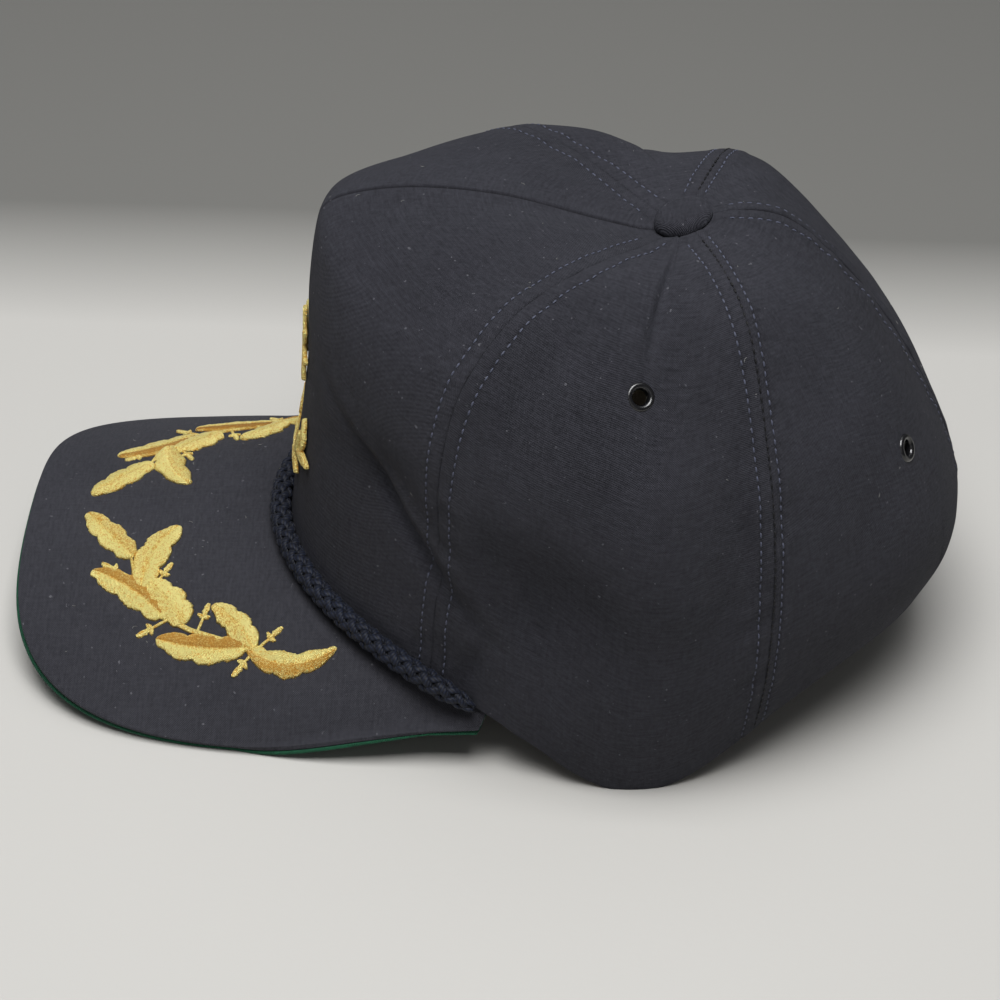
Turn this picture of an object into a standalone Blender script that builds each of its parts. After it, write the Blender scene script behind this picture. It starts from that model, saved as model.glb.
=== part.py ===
"""A five-panel rope hat at its real size, resting on its rim and on the two edges of its visor.

The frame: +Z is up, the visor points along -Y and the wearer's left is +X. The origin is the centre
of the hat's box on the plane that it rests on. Lengths are metres.

The crown is one smooth surface. A place on it is a turn about the button's axis, in degrees from
the front towards the wearer's left, and a level from 0 at the rim to 1 at the button. The pieces
that lie on the crown or on the visor are worked out flat and then laid on that surface.
"""

import math

import bmesh
import bpy
import numpy as np
from mathutils import Matrix, Vector

# Crown, over the cloth
HALF_LENGTH = 0.102
HALF_WIDTH = 0.091
CROWN_HEIGHT = 0.147
CROWN_CLOTH = 0.0016
BUTTON_SETBACK = 0.0156
SEAM_GAP = 0.0006
DART_RISE = 0.0012
DART_SPREAD = 7.0

# Where the seams run, as turns from the front in degrees
FRONT_SEAM_TURN = 50.0
SIDE_SEAM_TURN = 107.0
BACK_SEAM_TURN = 180.0

# Button on top
BUTTON_DIAMETER = 0.0176
BUTTON_HEIGHT = 0.0050
BUTTON_TILT = 19.0
BUTTON_SHANK_DIAMETER = 0.0030
BUTTON_SHANK_LENGTH = 0.0040

# Arched opening at the back and the strap across it
ARCH_HALF_TURN = 26.0
ARCH_LEVEL = 0.22
STRAP_WIDTH_LEVELS = 0.105
STRAP_LIFT_LEVELS = 0.022
STRAP_THICKNESS = 0.0013
STRAP_ROOT_TURN = 34.0
STRAP_LAP_TURN = 12.0
STRAP_PITCH_TURN = 4.6
STRAP_HOLE_DIAMETER = 0.0042
STRAP_PEG_DIAMETER = 0.0030
STRAP_PEG_HEIGHT = 0.0030
STRAP_CLEARANCE = 0.0010

# Sweatband inside the rim
SWEATBAND_TOP_LEVEL = 0.165
SWEATBAND_THICKNESS = 0.0010
SWEATBAND_DROP = 0.0008
SWEATBAND_CLEARANCE = 0.0008
SWEATBAND_END_TURN = 143.0

# Visor
VISOR_REACH = 0.0815
VISOR_SIDE_INSET = 0.0075
VISOR_HALF_WIDTH = HALF_WIDTH - VISOR_SIDE_INSET
VISOR_WIDEST_SETBACK = 0.047
VISOR_SQUARENESS = 3.9
VISOR_END_TURN = 60.5
VISOR_END_SHARE = 0.86
VISOR_END_SETBACK = 0.0094
VISOR_END_HOLD = 0.85
VISOR_CLOTH = 0.0018
VISOR_LINING = 0.0015
VISOR_FRONT_FALL = 0.0045
VISOR_SIDE_DROP = 0.0268
VISOR_ROOT = 0.15
VISOR_THINNING = 0.45

# Rope along the foot of the front panel
ROPE_DIAMETER = 0.0066
ROPE_END_TURN = 59.0
ROPE_TAPER_TURN = 7.0
ROPE_END_SHARE = 0.45

# Eyelets, as flange, hole and barrel diameters and the thickness of a flange
EYELET_FLANGE = 0.0086
EYELET_HOLE = 0.0044
EYELET_BARREL = 0.0058
EYELET_PLATE = 0.0008
EYELET_GAP = 0.0005
EYELET_SIDES = 12

# Clearance between pieces that touch on the real hat, and how long a hidden cutter is
CLEARANCE = 0.0003
CUTTER_LENGTH = 0.0120

# Crown sections: for each turn, the radius at each level as a share of the half length or half
# width, and the height at each level as a share of the crown's height
LEVELS = (0.00, 0.12, 0.26, 0.40, 0.50, 0.56, 0.63, 0.75, 0.87, 0.955, 1.00)
SECTIONS = (
    (0.0, (1.122, 1.103, 1.069, 1.061, 1.042, 1.003, 0.863, 0.608, 0.353, 0.088, 0.025),
     (0.202, 0.370, 0.571, 0.762, 0.906, 0.955, 0.985, 0.992, 0.962, 0.926, 0.932)),
    (28.0, (1.070, 1.052, 1.037, 1.033, 0.993, 0.940, 0.805, 0.578, 0.331, 0.090, 0.025),
     (0.184, 0.360, 0.558, 0.725, 0.845, 0.896, 0.950, 0.978, 0.963, 0.928, 0.933)),
    (50.0, (1.036, 1.022, 1.006, 1.020, 0.972, 0.915, 0.780, 0.552, 0.313, 0.094, 0.026),
     (0.158, 0.316, 0.492, 0.658, 0.796, 0.857, 0.926, 0.960, 0.950, 0.933, 0.935)),
    (68.0, (1.026, 1.031, 1.022, 1.006, 0.939, 0.875, 0.745, 0.529, 0.302, 0.097, 0.027),
     (0.090, 0.256, 0.436, 0.612, 0.748, 0.811, 0.890, 0.948, 0.953, 0.939, 0.939)),
    (85.0, (1.001, 1.032, 1.026, 0.994, 0.911, 0.845, 0.730, 0.527, 0.307, 0.099, 0.027),
     (-0.012, 0.168, 0.354, 0.531, 0.668, 0.735, 0.818, 0.909, 0.950, 0.946, 0.941)),
    (107.0, (0.912, 0.950, 0.945, 0.882, 0.794, 0.729, 0.643, 0.497, 0.283, 0.098, 0.027),
     (0.101, 0.256, 0.425, 0.593, 0.712, 0.776, 0.855, 0.938, 0.964, 0.956, 0.946)),
    (142.0, (0.838, 0.898, 0.884, 0.808, 0.717, 0.655, 0.572, 0.432, 0.243, 0.092, 0.026),
     (0.188, 0.313, 0.450, 0.586, 0.698, 0.755, 0.824, 0.910, 0.962, 0.962, 0.950)),
    (180.0, (0.846, 0.902, 0.871, 0.786, 0.691, 0.631, 0.548, 0.418, 0.240, 0.088, 0.025),
     (0.172, 0.288, 0.408, 0.541, 0.657, 0.720, 0.796, 0.893, 0.975, 0.967, 0.952)),
)

# Folds and dents: turn, level, spread in turn, spread in level, lean in turn for each level, and
# depth as a share of the half width, less than nothing for a fold that stands out
DENTS = (
    (68.0, 0.24, 7.0, 0.10, -20.0, 0.062),
    (56.0, 0.33, 3.6, 0.16, 8.0, -0.022),
    (33.0, 0.27, 9.0, 0.07, 60.0, 0.036),
    (62.0, 0.60, 6.0, 0.14, 10.0, 0.026),
    (99.0, 0.30, 4.0, 0.14, 0.0, 0.020),
    (-66.0, 0.28, 8.0, 0.10, 15.0, 0.040),
    (-30.0, 0.25, 9.0, 0.08, -50.0, 0.028),
)

# Panel grid: levels of the rows from the rim to the button, and turns between columns
ROW_LEVELS = (0.0, 0.06, 0.13, 0.20, 0.27, 0.34, 0.41, 0.47, 0.53, 0.58, 0.64, 0.72, 0.80, 0.88,
              0.955, 1.0)
COLUMN_TURN = 6.5

# Eyelets: turn and level
EYELETS = (
    ("side", 80.0, 0.635),
    ("back", 147.0, 0.43),
)

# Oak branch on the visor's left half, mirrored on its right half. Places are shares of the visor's
# half width across and of its reach forward from the crown's front. A leaf has its width and its
# bow as shares of its length, and an acorn hangs on a stalk from its foot.
LEAF_LOBES = 3.0
LEAF_STEPS = 8
LEAVES = (
    # base across, base forward, tip across, tip forward, width, bow, relief
    (0.285, 0.575, 0.055, 0.780, 0.42, 0.00, 0.0010),
    (0.425, 0.525, 0.127, 0.415, 0.38, -0.22, 0.0012),
    (0.545, 0.435, 0.345, 0.722, 0.42, 0.06, 0.0009),
    (0.570, 0.340, 0.390, 0.500, 0.62, 0.00, 0.0011),
    (0.675, 0.110, 0.630, 0.450, 0.44, -0.05, 0.0009),
    (0.685, 0.080, 0.500, 0.250, 0.46, 0.06, 0.0012),
    (0.675, 0.110, 0.715, -0.275, 0.30, 0.17, 0.0010),
)
ACORN_LENGTH = 0.0058
ACORN_WIDTH = 0.0038
STALK_WIDTH = 0.0016
ACORNS = (
    # across, forward, foot across, foot forward, relief
    (0.330, 0.655, 0.400, 0.530, 0.0008),
    (0.345, 0.440, 0.450, 0.500, 0.0007),
    (0.600, 0.490, 0.555, 0.410, 0.0008),
    (0.530, 0.275, 0.610, 0.300, 0.0007),
    (0.745, 0.130, 0.690, 0.080, 0.0008),
    (0.630, 0.010, 0.690, 0.080, 0.0007),
)
STEM_WIDTH = 0.0022
STEM = ((0.275, 0.585), (0.360, 0.560), (0.430, 0.523), (0.540, 0.438), (0.600, 0.325),
        (0.640, 0.203), (0.690, 0.070))

# Width of the strips that a raised design is cut into before it is laid on a curved surface
SLICE_WIDTH = 0.018

# Raised star and two sprigs on the front panel, placed by their height above the rim
STAR_RADIUS = 0.0125
STAR_POINTS = 8
STAR_CENTRE = 0.063
EMBLEM_RELIEF = 0.0010
SPRIG_RADIUS = 0.0215
SPRIG_CENTRE = 0.0480
SPRIG_LEAVES = 4
SPRIG_FIRST_ANGLE = -78.0
SPRIG_STEP_ANGLE = 13.5
SPRIG_LEAF_LENGTH = 0.0105
SPRIG_STEM_WIDTH = 0.0024


def spline_rows(knots, places, flat_ends):
    """Weights that read a cubic spline through the knots, a row for each place."""
    knots = np.asarray(knots, float)
    count = len(knots)
    step = np.diff(knots)
    left = np.zeros((count, count))
    right = np.zeros((count, count))
    for row in range(1, count - 1):
        left[row, row - 1] = step[row - 1]
        left[row, row] = 2.0 * (step[row - 1] + step[row])
        left[row, row + 1] = step[row]
        right[row, row - 1] = 6.0 / step[row - 1]
        right[row, row] = -6.0 / step[row - 1] - 6.0 / step[row]
        right[row, row + 1] = 6.0 / step[row]
    if flat_ends:
        left[0, :2] = (2.0 * step[0], step[0])
        right[0, :2] = (-6.0 / step[0], 6.0 / step[0])
        left[-1, -2:] = (step[-1], 2.0 * step[-1])
        right[-1, -2:] = (6.0 / step[-1], -6.0 / step[-1])
    else:
        left[0, 0] = 1.0
        left[-1, -1] = 1.0
    bend = np.linalg.solve(left, right)
    places = np.clip(np.ravel(places), knots[0], knots[-1])
    index = np.clip(np.searchsorted(knots, places, side="right") - 1, 0, count - 2)
    width = step[index]
    high = (places - knots[index]) / width
    low = 1.0 - high
    unit = np.eye(count)
    rows = low[:, None] * unit[index] + high[:, None] * unit[index + 1]
    rows += ((low**3 - low) * width**2 / 6.0)[:, None] * bend[index]
    rows += ((high**3 - high) * width**2 / 6.0)[:, None] * bend[index + 1]
    return rows


SECTION_TURNS = np.array([row[0] for row in SECTIONS])
SECTION_RADII = np.array([row[1] for row in SECTIONS])
SECTION_HEIGHTS = np.array([row[2] for row in SECTIONS])


def smooth_crown(turns, levels):
    """Points of the crown before its dents, for arrays of turns and levels."""
    turns, levels = np.broadcast_arrays(np.asarray(turns, float), np.asarray(levels, float))
    folded = np.abs((turns + 180.0) % 360.0 - 180.0)
    by_turn = spline_rows(SECTION_TURNS, folded, True)
    by_level = spline_rows(LEVELS, levels, False)
    radii = np.sum((by_turn @ SECTION_RADII) * by_level, axis=1).reshape(turns.shape)
    heights = np.sum((by_turn @ SECTION_HEIGHTS) * by_level, axis=1).reshape(turns.shape)
    dart = DART_RISE * np.exp(-folded / DART_SPREAD) * np.clip((levels - 0.48) / 0.1, 0.0, 1.0)
    dart = dart * np.clip((0.94 - levels) / 0.1, 0.0, 1.0)
    angle = np.radians(turns)
    across = HALF_WIDTH * radii * np.sin(angle)
    along = BUTTON_SETBACK - HALF_LENGTH * radii * np.cos(angle)
    return np.stack([across, along, CROWN_HEIGHT * heights + dart], axis=-1)


def crown(turns, levels):
    """Points and outward normals of the dented crown, for arrays of turns and levels."""
    turns, levels = np.broadcast_arrays(np.asarray(turns, float), np.asarray(levels, float))
    reach = 0.4
    lift = 0.004
    low = np.clip(levels, 0.0, 1.0 - lift)
    sideways = smooth_crown(turns + reach, low) - smooth_crown(turns - reach, low)
    upwards = smooth_crown(turns, low + lift) - smooth_crown(turns, low)
    normals = np.cross(sideways, upwards)
    normals /= np.linalg.norm(normals, axis=-1, keepdims=True)
    hem = np.clip(levels / 0.05, 0.0, 1.0)
    normals[..., 2] *= hem
    normals /= np.linalg.norm(normals, axis=-1, keepdims=True)
    depth = np.zeros(turns.shape)
    signed = (turns + 180.0) % 360.0 - 180.0
    for turn, level, turn_spread, level_spread, lean, share in DENTS:
        aside = (signed - turn - lean * (levels - level)) / turn_spread
        above = (levels - level) / level_spread
        depth += share * HALF_WIDTH * np.exp(-aside**2 - above**2)
    points = smooth_crown(turns, levels) - normals * depth[..., None]
    points[..., 2] = np.maximum(points[..., 2], 0.0)
    return points, normals


def arch_level(turns):
    """The level of the crown's lower edge: nothing but where the arch at the back cuts it."""
    inside = (BACK_SEAM_TURN - np.abs(turns)) / ARCH_HALF_TURN
    return ARCH_LEVEL * np.sqrt(np.clip(1.0 - inside**2, 0.0, 1.0))


def make_material(name, colour, roughness, metallic=0.0):
    """A Principled material."""
    material = bpy.data.materials.new(name)
    material.use_nodes = True
    shader = material.node_tree.nodes["Principled BSDF"]
    shader.inputs["Base Color"].default_value = (*colour, 1.0)
    shader.inputs["Roughness"].default_value = roughness
    shader.inputs["Metallic"].default_value = metallic
    material.diffuse_color = (*colour, 1.0)
    return material


def add_object(name, mesh, material, parent):
    """One object for a piece, with its own material, carried by the parent."""
    piece = bpy.data.objects.new(name, mesh)
    piece.data.materials.append(material)
    bpy.context.collection.objects.link(piece)
    piece.parent = parent
    return piece


def add_solid(name, points, faces, material, parent):
    """A closed mesh with its faces pointing outwards."""
    mesh = bpy.data.meshes.new(name)
    mesh.from_pydata([tuple(point) for point in points], [], faces)
    work = bmesh.new()
    work.from_mesh(mesh)
    bmesh.ops.recalc_face_normals(work, faces=work.faces)
    work.to_mesh(mesh)
    work.free()
    mesh.shade_smooth()
    mesh.set_sharp_from_angle(angle=math.radians(40.0))
    return add_object(name, mesh, material, parent)


def shell_between(name, outer, inner, material, parent):
    """A closed wall between two grids of points that have the same rows and columns."""
    rows, columns = outer.shape[:2]
    outer_index = np.arange(rows * columns).reshape(rows, columns)
    inner_index = outer_index + rows * columns
    faces = []
    for row in range(rows - 1):
        for column in range(columns - 1):
            near = outer_index[row:row + 2, column:column + 2]
            far = inner_index[row:row + 2, column:column + 2]
            faces.append((near[0, 0], near[0, 1], near[1, 1], near[1, 0]))
            faces.append((far[0, 0], far[1, 0], far[1, 1], far[0, 1]))
    for column in range(columns - 1):
        for row in (0, rows - 1):
            pair = (column, column + 1)
            faces.append((outer_index[row, pair[0]], outer_index[row, pair[1]],
                          inner_index[row, pair[1]], inner_index[row, pair[0]]))
    for row in range(rows - 1):
        for column in (0, columns - 1):
            faces.append((outer_index[row, column], outer_index[row + 1, column],
                          inner_index[row + 1, column], inner_index[row, column]))
    points = np.concatenate([outer.reshape(-1, 3), inner.reshape(-1, 3)])
    faces = [tuple(int(index) for index in face) for face in faces]
    return add_solid(name, points, faces, material, parent)


def wall_inwards(points, normals, depth, thickness):
    """The outer and inner grid of a wall that starts at a depth under the crown's surface."""
    outer = points - normals * depth
    inner = points - normals * (depth + thickness)
    outer[..., 2] = np.maximum(outer[..., 2], 0.0)
    inner[..., 2] = np.maximum(inner[..., 2], 0.0)
    return outer, inner


def panel_columns(start, end):
    """Turns of a panel's columns, closer together where the arch at the back rises."""
    arch_start = BACK_SEAM_TURN - ARCH_HALF_TURN
    if abs(end) <= arch_start:
        count = max(4, round(abs(end - start) / COLUMN_TURN))
        return np.linspace(start, end, count + 1)
    side = math.copysign(1.0, end)
    plain = max(3, round((arch_start - abs(start)) / COLUMN_TURN))
    before = np.linspace(abs(start), arch_start, plain + 1)
    rise = np.linspace(0.0, math.pi / 2.0, 7)[1:]
    after = arch_start + ARCH_HALF_TURN * (1.0 - np.cos(rise))
    return side * np.concatenate([before, after])


def make_panel(name, start, end, material, parent):
    """One cloth panel of the crown, from the rim to its tip under the button."""
    columns = panel_columns(start, end)
    share = (columns - start) / (end - start)
    rows = np.asarray(ROW_LEVELS)[:, None]
    lower = arch_level(columns)[None, :]
    levels = lower + (1.0 - lower) * rows
    seam_points = smooth_crown(np.full(len(ROW_LEVELS), start), ROW_LEVELS)
    radius = np.hypot(seam_points[:, 0], seam_points[:, 1] - BUTTON_SETBACK)
    trim = np.degrees(SEAM_GAP / 2.0 / radius)[:, None] * math.copysign(1.0, end - start)
    turns = columns[None, :] + trim * (1.0 - 2.0 * share[None, :])
    points, normals = crown(turns, levels)
    outer, inner = wall_inwards(points, normals, 0.0, CROWN_CLOTH)
    return shell_between(name, outer, inner, material, parent)


def cutter_along(name, centre, direction, diameter, length, sides, parent):
    """A hidden cylinder for cutting a round hole, centred on a point and turned along a direction."""
    mesh = bpy.data.meshes.new(name)
    work = bmesh.new()
    turn = Vector(direction).to_track_quat("Z", "Y").to_matrix().to_4x4()
    bmesh.ops.create_cone(work, cap_ends=True, segments=sides, radius1=diameter / 2.0,
                          radius2=diameter / 2.0, depth=length,
                          matrix=Matrix.Translation(Vector(centre)) @ turn)
    work.to_mesh(mesh)
    work.free()
    cutter = bpy.data.objects.new(name, mesh)
    bpy.context.collection.objects.link(cutter)
    cutter.parent = parent
    cutter.hide_render = True
    cutter.display_type = "WIRE"
    return cutter


def cut(piece, cutter, operation="DIFFERENCE"):
    """Add a Boolean modifier to a piece."""
    modifier = piece.modifiers.new(cutter.name, "BOOLEAN")
    modifier.operation = operation
    modifier.object = cutter


def make_eyelet(name, turn, level, panel, material, parent):
    """A metal ring with a flange on each side of the cloth, and the hole that it sits in."""
    points, normals = crown(np.array([turn]), np.array([level]))
    point, normal = points[0], normals[0]
    middle = point - normal * CROWN_CLOTH / 2.0
    hole_diameter = EYELET_BARREL + 2.0 * CLEARANCE
    hole = cutter_along(name + "_hole", middle, normal, hole_diameter, CUTTER_LENGTH, EYELET_SIDES, parent)
    cut(panel, hole)
    half_gap = CROWN_CLOTH / 2.0 + EYELET_GAP
    flange, barrel, bore = EYELET_FLANGE / 2.0, EYELET_BARREL / 2.0, EYELET_HOLE / 2.0
    profile = (
        (bore, -half_gap - EYELET_PLATE), (flange, -half_gap - EYELET_PLATE * 0.6),
        (flange, -half_gap), (barrel, -half_gap), (barrel, half_gap), (flange, half_gap),
        (flange, half_gap + EYELET_PLATE * 0.4), (0.75 * flange + 0.25 * bore, half_gap + EYELET_PLATE),
        (bore, half_gap + EYELET_PLATE * 0.7),
    )
    return make_ring(name, profile, EYELET_SIDES, middle, normal, material, parent)


def make_ring(name, profile, sides, centre, direction, material, parent):
    """A profile of radius and height turned about a direction, closed on itself."""
    turn = Vector(direction).to_track_quat("Z", "Y").to_matrix()
    points = []
    for side in range(sides):
        angle = 2.0 * math.pi * side / sides
        for radius, height in profile:
            local = Vector((radius * math.cos(angle), radius * math.sin(angle), height))
            points.append(Vector(centre) + turn @ local)
    count = len(profile)
    faces = []
    for side in range(sides):
        here, there = side * count, (side + 1) % sides * count
        for step in range(count):
            after = (step + 1) % count
            faces.append((here + step, there + step, there + after, here + after))
    return add_solid(name, points, faces, material, parent)


def make_button(material, parent):
    """The covered button: a low dome with a rounded edge and a short shank through the tips."""
    ahead, _ = crown(np.array([0.0]), np.array([0.955]))
    behind, _ = crown(np.array([180.0]), np.array([0.955]))
    seat = (ahead[0] + behind[0]) / 2.0
    tilt = math.radians(BUTTON_TILT)
    normal = Vector((0.0, -math.sin(tilt), math.cos(tilt)))
    radius = BUTTON_DIAMETER / 2.0
    height = BUTTON_HEIGHT
    shank = BUTTON_SHANK_DIAMETER / 2.0
    profile = (
        (shank, -BUTTON_SHANK_LENGTH), (shank, 0.0), (0.90 * radius, 0.0), (radius, 0.28 * height),
        (0.93 * radius, 0.60 * height), (0.72 * radius, 0.84 * height), (0.38 * radius, 0.97 * height),
    )
    base = Vector((0.0, BUTTON_SETBACK, seat[2])) + normal * (2.0 * CLEARANCE)
    turn = normal.to_track_quat("Z", "Y").to_matrix()
    sides = 20
    points = []
    for side in range(sides):
        angle = 2.0 * math.pi * side / sides
        for reach, rise in profile:
            points.append(base + turn @ Vector((reach * math.cos(angle), reach * math.sin(angle), rise)))
    count = len(profile)
    faces = []
    for side in range(sides):
        here, there = side * count, (side + 1) % sides * count
        for step in range(count - 1):
            faces.append((here + step, there + step, there + step + 1, here + step + 1))
    faces.append(tuple(side * count for side in range(sides)))
    faces.append(tuple(side * count + count - 1 for side in reversed(range(sides))))
    return add_solid("top_button", points, faces, material, parent)


def visor_surface(across, forward):
    """Points of the visor's upper surface.

    Across runs from -1 at the right end to 1 at the left end, forward from 0 at the crown to 1 at
    the visor's edge.
    """
    across, forward = np.broadcast_arrays(np.asarray(across, float), np.asarray(forward, float))
    rim, rim_normal = crown(across * VISOR_END_TURN, np.zeros(across.shape))
    root = rim - rim_normal * CROWN_CLOTH
    front = BUTTON_SETBACK - HALF_LENGTH * SECTION_RADII[0, 0]
    widest = -VISOR_WIDEST_SETBACK
    depth = widest - (front - VISOR_REACH)
    angle = across * math.pi / 2.0
    power = 2.0 / VISOR_SQUARENESS
    edge_across = VISOR_HALF_WIDTH * np.sign(angle) * np.abs(np.sin(angle))**power
    edge_along = widest - depth * np.abs(np.cos(angle))**power
    past_end = np.clip((np.abs(across) - VISOR_END_SHARE) / (1.0 - VISOR_END_SHARE), 0.0, 1.0)
    edge_along = edge_along + past_end**2 * VISOR_END_SETBACK
    plan_across = root[..., 0] + (edge_across - root[..., 0]) * forward
    plan_along = root[..., 1] + (edge_along - root[..., 1]) * forward

    def arched(place_across, place_along):
        fall = VISOR_FRONT_FALL * (front - place_along) / VISOR_REACH
        drop = VISOR_SIDE_DROP * (place_across / VISOR_HALF_WIDTH)**2
        return CROWN_HEIGHT * SECTION_HEIGHTS[0, 0] - fall - drop

    height = arched(plan_across, plan_along)
    fit = root[..., 2] - CLEARANCE - arched(root[..., 0], root[..., 1])
    hold = (1.0 - forward)**2
    hold = hold + (1.0 - hold) * VISOR_END_HOLD * past_end**2
    return np.stack([plan_across, plan_along, height + fit * hold], axis=-1)


def visor_normals(across, forward):
    """Upward normals of the visor's upper surface, upright where it is sewn to the crown."""
    step = 0.01
    inner = np.clip(across, -1.0 + step, 1.0 - step)
    outward = np.clip(forward, step, 1.0 - step)
    sideways = visor_surface(inner + step, forward) - visor_surface(inner - step, forward)
    forwards = visor_surface(across, outward + step) - visor_surface(across, outward - step)
    normals = np.cross(forwards, sideways)
    normals /= np.linalg.norm(normals, axis=-1, keepdims=True)
    normals[..., :2] *= np.clip(forward / VISOR_ROOT, 0.0, 1.0)[..., None]
    return normals / np.linalg.norm(normals, axis=-1, keepdims=True)


def make_visor(cloth, lining, parent):
    """The visor as two layers: the covered board on top and the lining under it."""
    quarter = np.linspace(0.0, 1.0, 12)
    eased = np.concatenate([-quarter[:0:-1], quarter])
    across, forward = np.meshgrid(eased, np.linspace(0.0, 1.0, 6))
    top = visor_surface(across, forward)
    normals = visor_normals(across, forward)
    past_end = np.clip((np.abs(across) - VISOR_END_SHARE) / (1.0 - VISOR_END_SHARE), 0.0, 1.0)
    normals = normals * (1.0 - VISOR_THINNING * past_end)[..., None]
    under = top - normals * VISOR_CLOTH
    shell_between("visor", top, under, cloth, parent)
    lining_top = top - normals * (VISOR_CLOTH + CLEARANCE)
    lining_under = lining_top - normals * VISOR_LINING
    lining_under[..., 2] = np.maximum(lining_under[..., 2], 0.0)
    shell_between("visor_lining", lining_top, lining_under, lining, parent)


def make_rope(material, parent):
    """The rope that lies on the visor against the foot of the front panel, thinner at its ends."""
    count = 44
    turns = np.linspace(-ROPE_END_TURN, ROPE_END_TURN, count)
    points, normals = crown(turns, np.zeros(count))
    radius = ROPE_DIAMETER / 2.0
    left = np.clip((ROPE_END_TURN - np.abs(turns)) / ROPE_TAPER_TURN, 0.0, 1.0)
    taper = ROPE_END_SHARE + (1.0 - ROPE_END_SHARE) * left * (2.0 - left)
    path = points + normals * (radius * taper + CLEARANCE)[:, None]
    path[:, 2] += radius * taper + CLEARANCE
    curve = bpy.data.curves.new("rope", "CURVE")
    curve.dimensions = "3D"
    curve.bevel_depth = radius
    curve.bevel_resolution = 2
    curve.use_fill_caps = True
    spline = curve.splines.new("POLY")
    spline.points.add(count - 1)
    for knot, place, share in zip(spline.points, path, taper):
        knot.co = (*place, 1.0)
        knot.radius = float(share)
    return add_object("rope", curve, material, parent)


def make_sweatband(material, parent):
    """The band inside the rim, which shows as a thin edge under the hem."""
    turns = np.linspace(-SWEATBAND_END_TURN, SWEATBAND_END_TURN, 37)[None, :]
    rows = np.array([0.0, 0.3, 0.65, 1.0])[:, None]
    levels = rows * SWEATBAND_TOP_LEVEL + 0.0 * turns
    points, normals = crown(turns, levels)
    points[0, :, 2] -= SWEATBAND_DROP
    depth = CROWN_CLOTH + SWEATBAND_CLEARANCE
    outer, inner = wall_inwards(points, normals, depth, SWEATBAND_THICKNESS)
    outer[..., 2] = np.maximum(outer[..., 2], CLEARANCE)
    inner[..., 2] = np.maximum(inner[..., 2], CLEARANCE)
    return shell_between("sweatband", outer, inner, material, parent)


def make_strap(name, start, end, depth, material, parent):
    """Half of the plastic strap, which follows the crown's curve across the arch."""
    turns = np.linspace(start, end, 12)[None, :]
    rows = np.linspace(0.0, 1.0, 3)[:, None]
    levels = STRAP_LIFT_LEVELS + STRAP_WIDTH_LEVELS * rows + 0.0 * turns
    points, normals = crown(turns, levels)
    outer, inner = wall_inwards(points, normals, depth, STRAP_THICKNESS)
    return shell_between(name, outer, inner, material, parent)


def make_straps(material, parent):
    """The strap with holes outside and the strap with pegs inside, fastened over each other."""
    first = CROWN_CLOTH + STRAP_CLEARANCE
    second = first + STRAP_THICKNESS + CLEARANCE
    root = BACK_SEAM_TURN - STRAP_ROOT_TURN
    holed = make_strap("snap_strap_left", root, BACK_SEAM_TURN + STRAP_LAP_TURN, first, material, parent)
    pegged = make_strap("snap_strap_right", BACK_SEAM_TURN - STRAP_LAP_TURN,
                        BACK_SEAM_TURN + STRAP_ROOT_TURN, second, material, parent)
    level = STRAP_LIFT_LEVELS + STRAP_WIDTH_LEVELS / 2.0
    for step in range(-4, 3):
        turn = BACK_SEAM_TURN + STRAP_PITCH_TURN * step
        points, normals = crown(np.array([turn]), np.array([level]))
        name = "strap_hole_%d" % (step + 5)
        hole = cutter_along(name, points[0], normals[0], STRAP_HOLE_DIAMETER, CUTTER_LENGTH, 10, parent)
        cut(holed, hole)
    for step in range(-2, 5):
        turn = BACK_SEAM_TURN + STRAP_PITCH_TURN * step
        points, normals = crown(np.array([turn]), np.array([level]))
        foot = points[0] - normals[0] * (second + STRAP_THICKNESS / 2.0)
        middle = foot + normals[0] * (STRAP_PEG_HEIGHT + STRAP_THICKNESS / 2.0) / 2.0
        name = "strap_peg_%d" % (step + 3)
        length = STRAP_PEG_HEIGHT + STRAP_THICKNESS / 2.0
        peg = cutter_along(name, middle, normals[0], STRAP_PEG_DIAMETER, length, 8, parent)
        cut(pegged, peg, "UNION")


def leaf_outline(base, tip, width, bow, lobes):
    """A leaf with rounded lobes along a bowed midrib from its base to its tip."""
    base, tip = np.asarray(base), np.asarray(tip)
    spine = tip - base
    aside = np.array([-spine[1], spine[0]])
    steps = np.linspace(0.0, 1.0, LEAF_STEPS)
    midrib = base + spine * steps[:, None] + aside * (4.0 * bow * steps * (1.0 - steps))[:, None]
    body = np.sin(math.pi * steps**0.85)**0.75
    wave = 0.84 - 0.16 * np.cos(2.0 * math.pi * lobes * steps)
    half = 0.5 * width * body * wave
    half[0] = 0.5 * width * 0.10
    half[-1] = 0.5 * width * 0.05
    return np.concatenate([midrib + aside * half[:, None], (midrib - aside * half[:, None])[::-1]])


def ellipse_outline(centre, length, width, direction, sides):
    """An ellipse with its long axis along a direction."""
    angles = np.linspace(0.0, 2.0 * math.pi, sides, endpoint=False)
    along = np.array([math.cos(direction), math.sin(direction)])
    aside = np.array([-along[1], along[0]])
    ring = along * np.cos(angles)[:, None] * length / 2.0 + aside * np.sin(angles)[:, None] * width / 2.0
    return np.asarray(centre) + ring


def ribbon_outline(path, width):
    """A narrow band along a path, as a closed outline."""
    path = np.asarray(path)
    slope = np.gradient(path, axis=0)
    slope /= np.linalg.norm(slope, axis=1, keepdims=True)
    aside = np.stack([-slope[:, 1], slope[:, 0]], axis=1) * width / 2.0
    return np.concatenate([path + aside, (path - aside)[::-1]])


def star_outline(centre, radius, points):
    """A star with straight sides."""
    angles = math.pi / 2.0 + np.arange(2 * points) * math.pi / points
    reach = np.where(np.arange(2 * points) % 2 == 0, radius, 0.52 * radius)
    ring = np.stack([reach * np.cos(angles), reach * np.sin(angles)], axis=1)
    return np.asarray(centre) + ring


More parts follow.
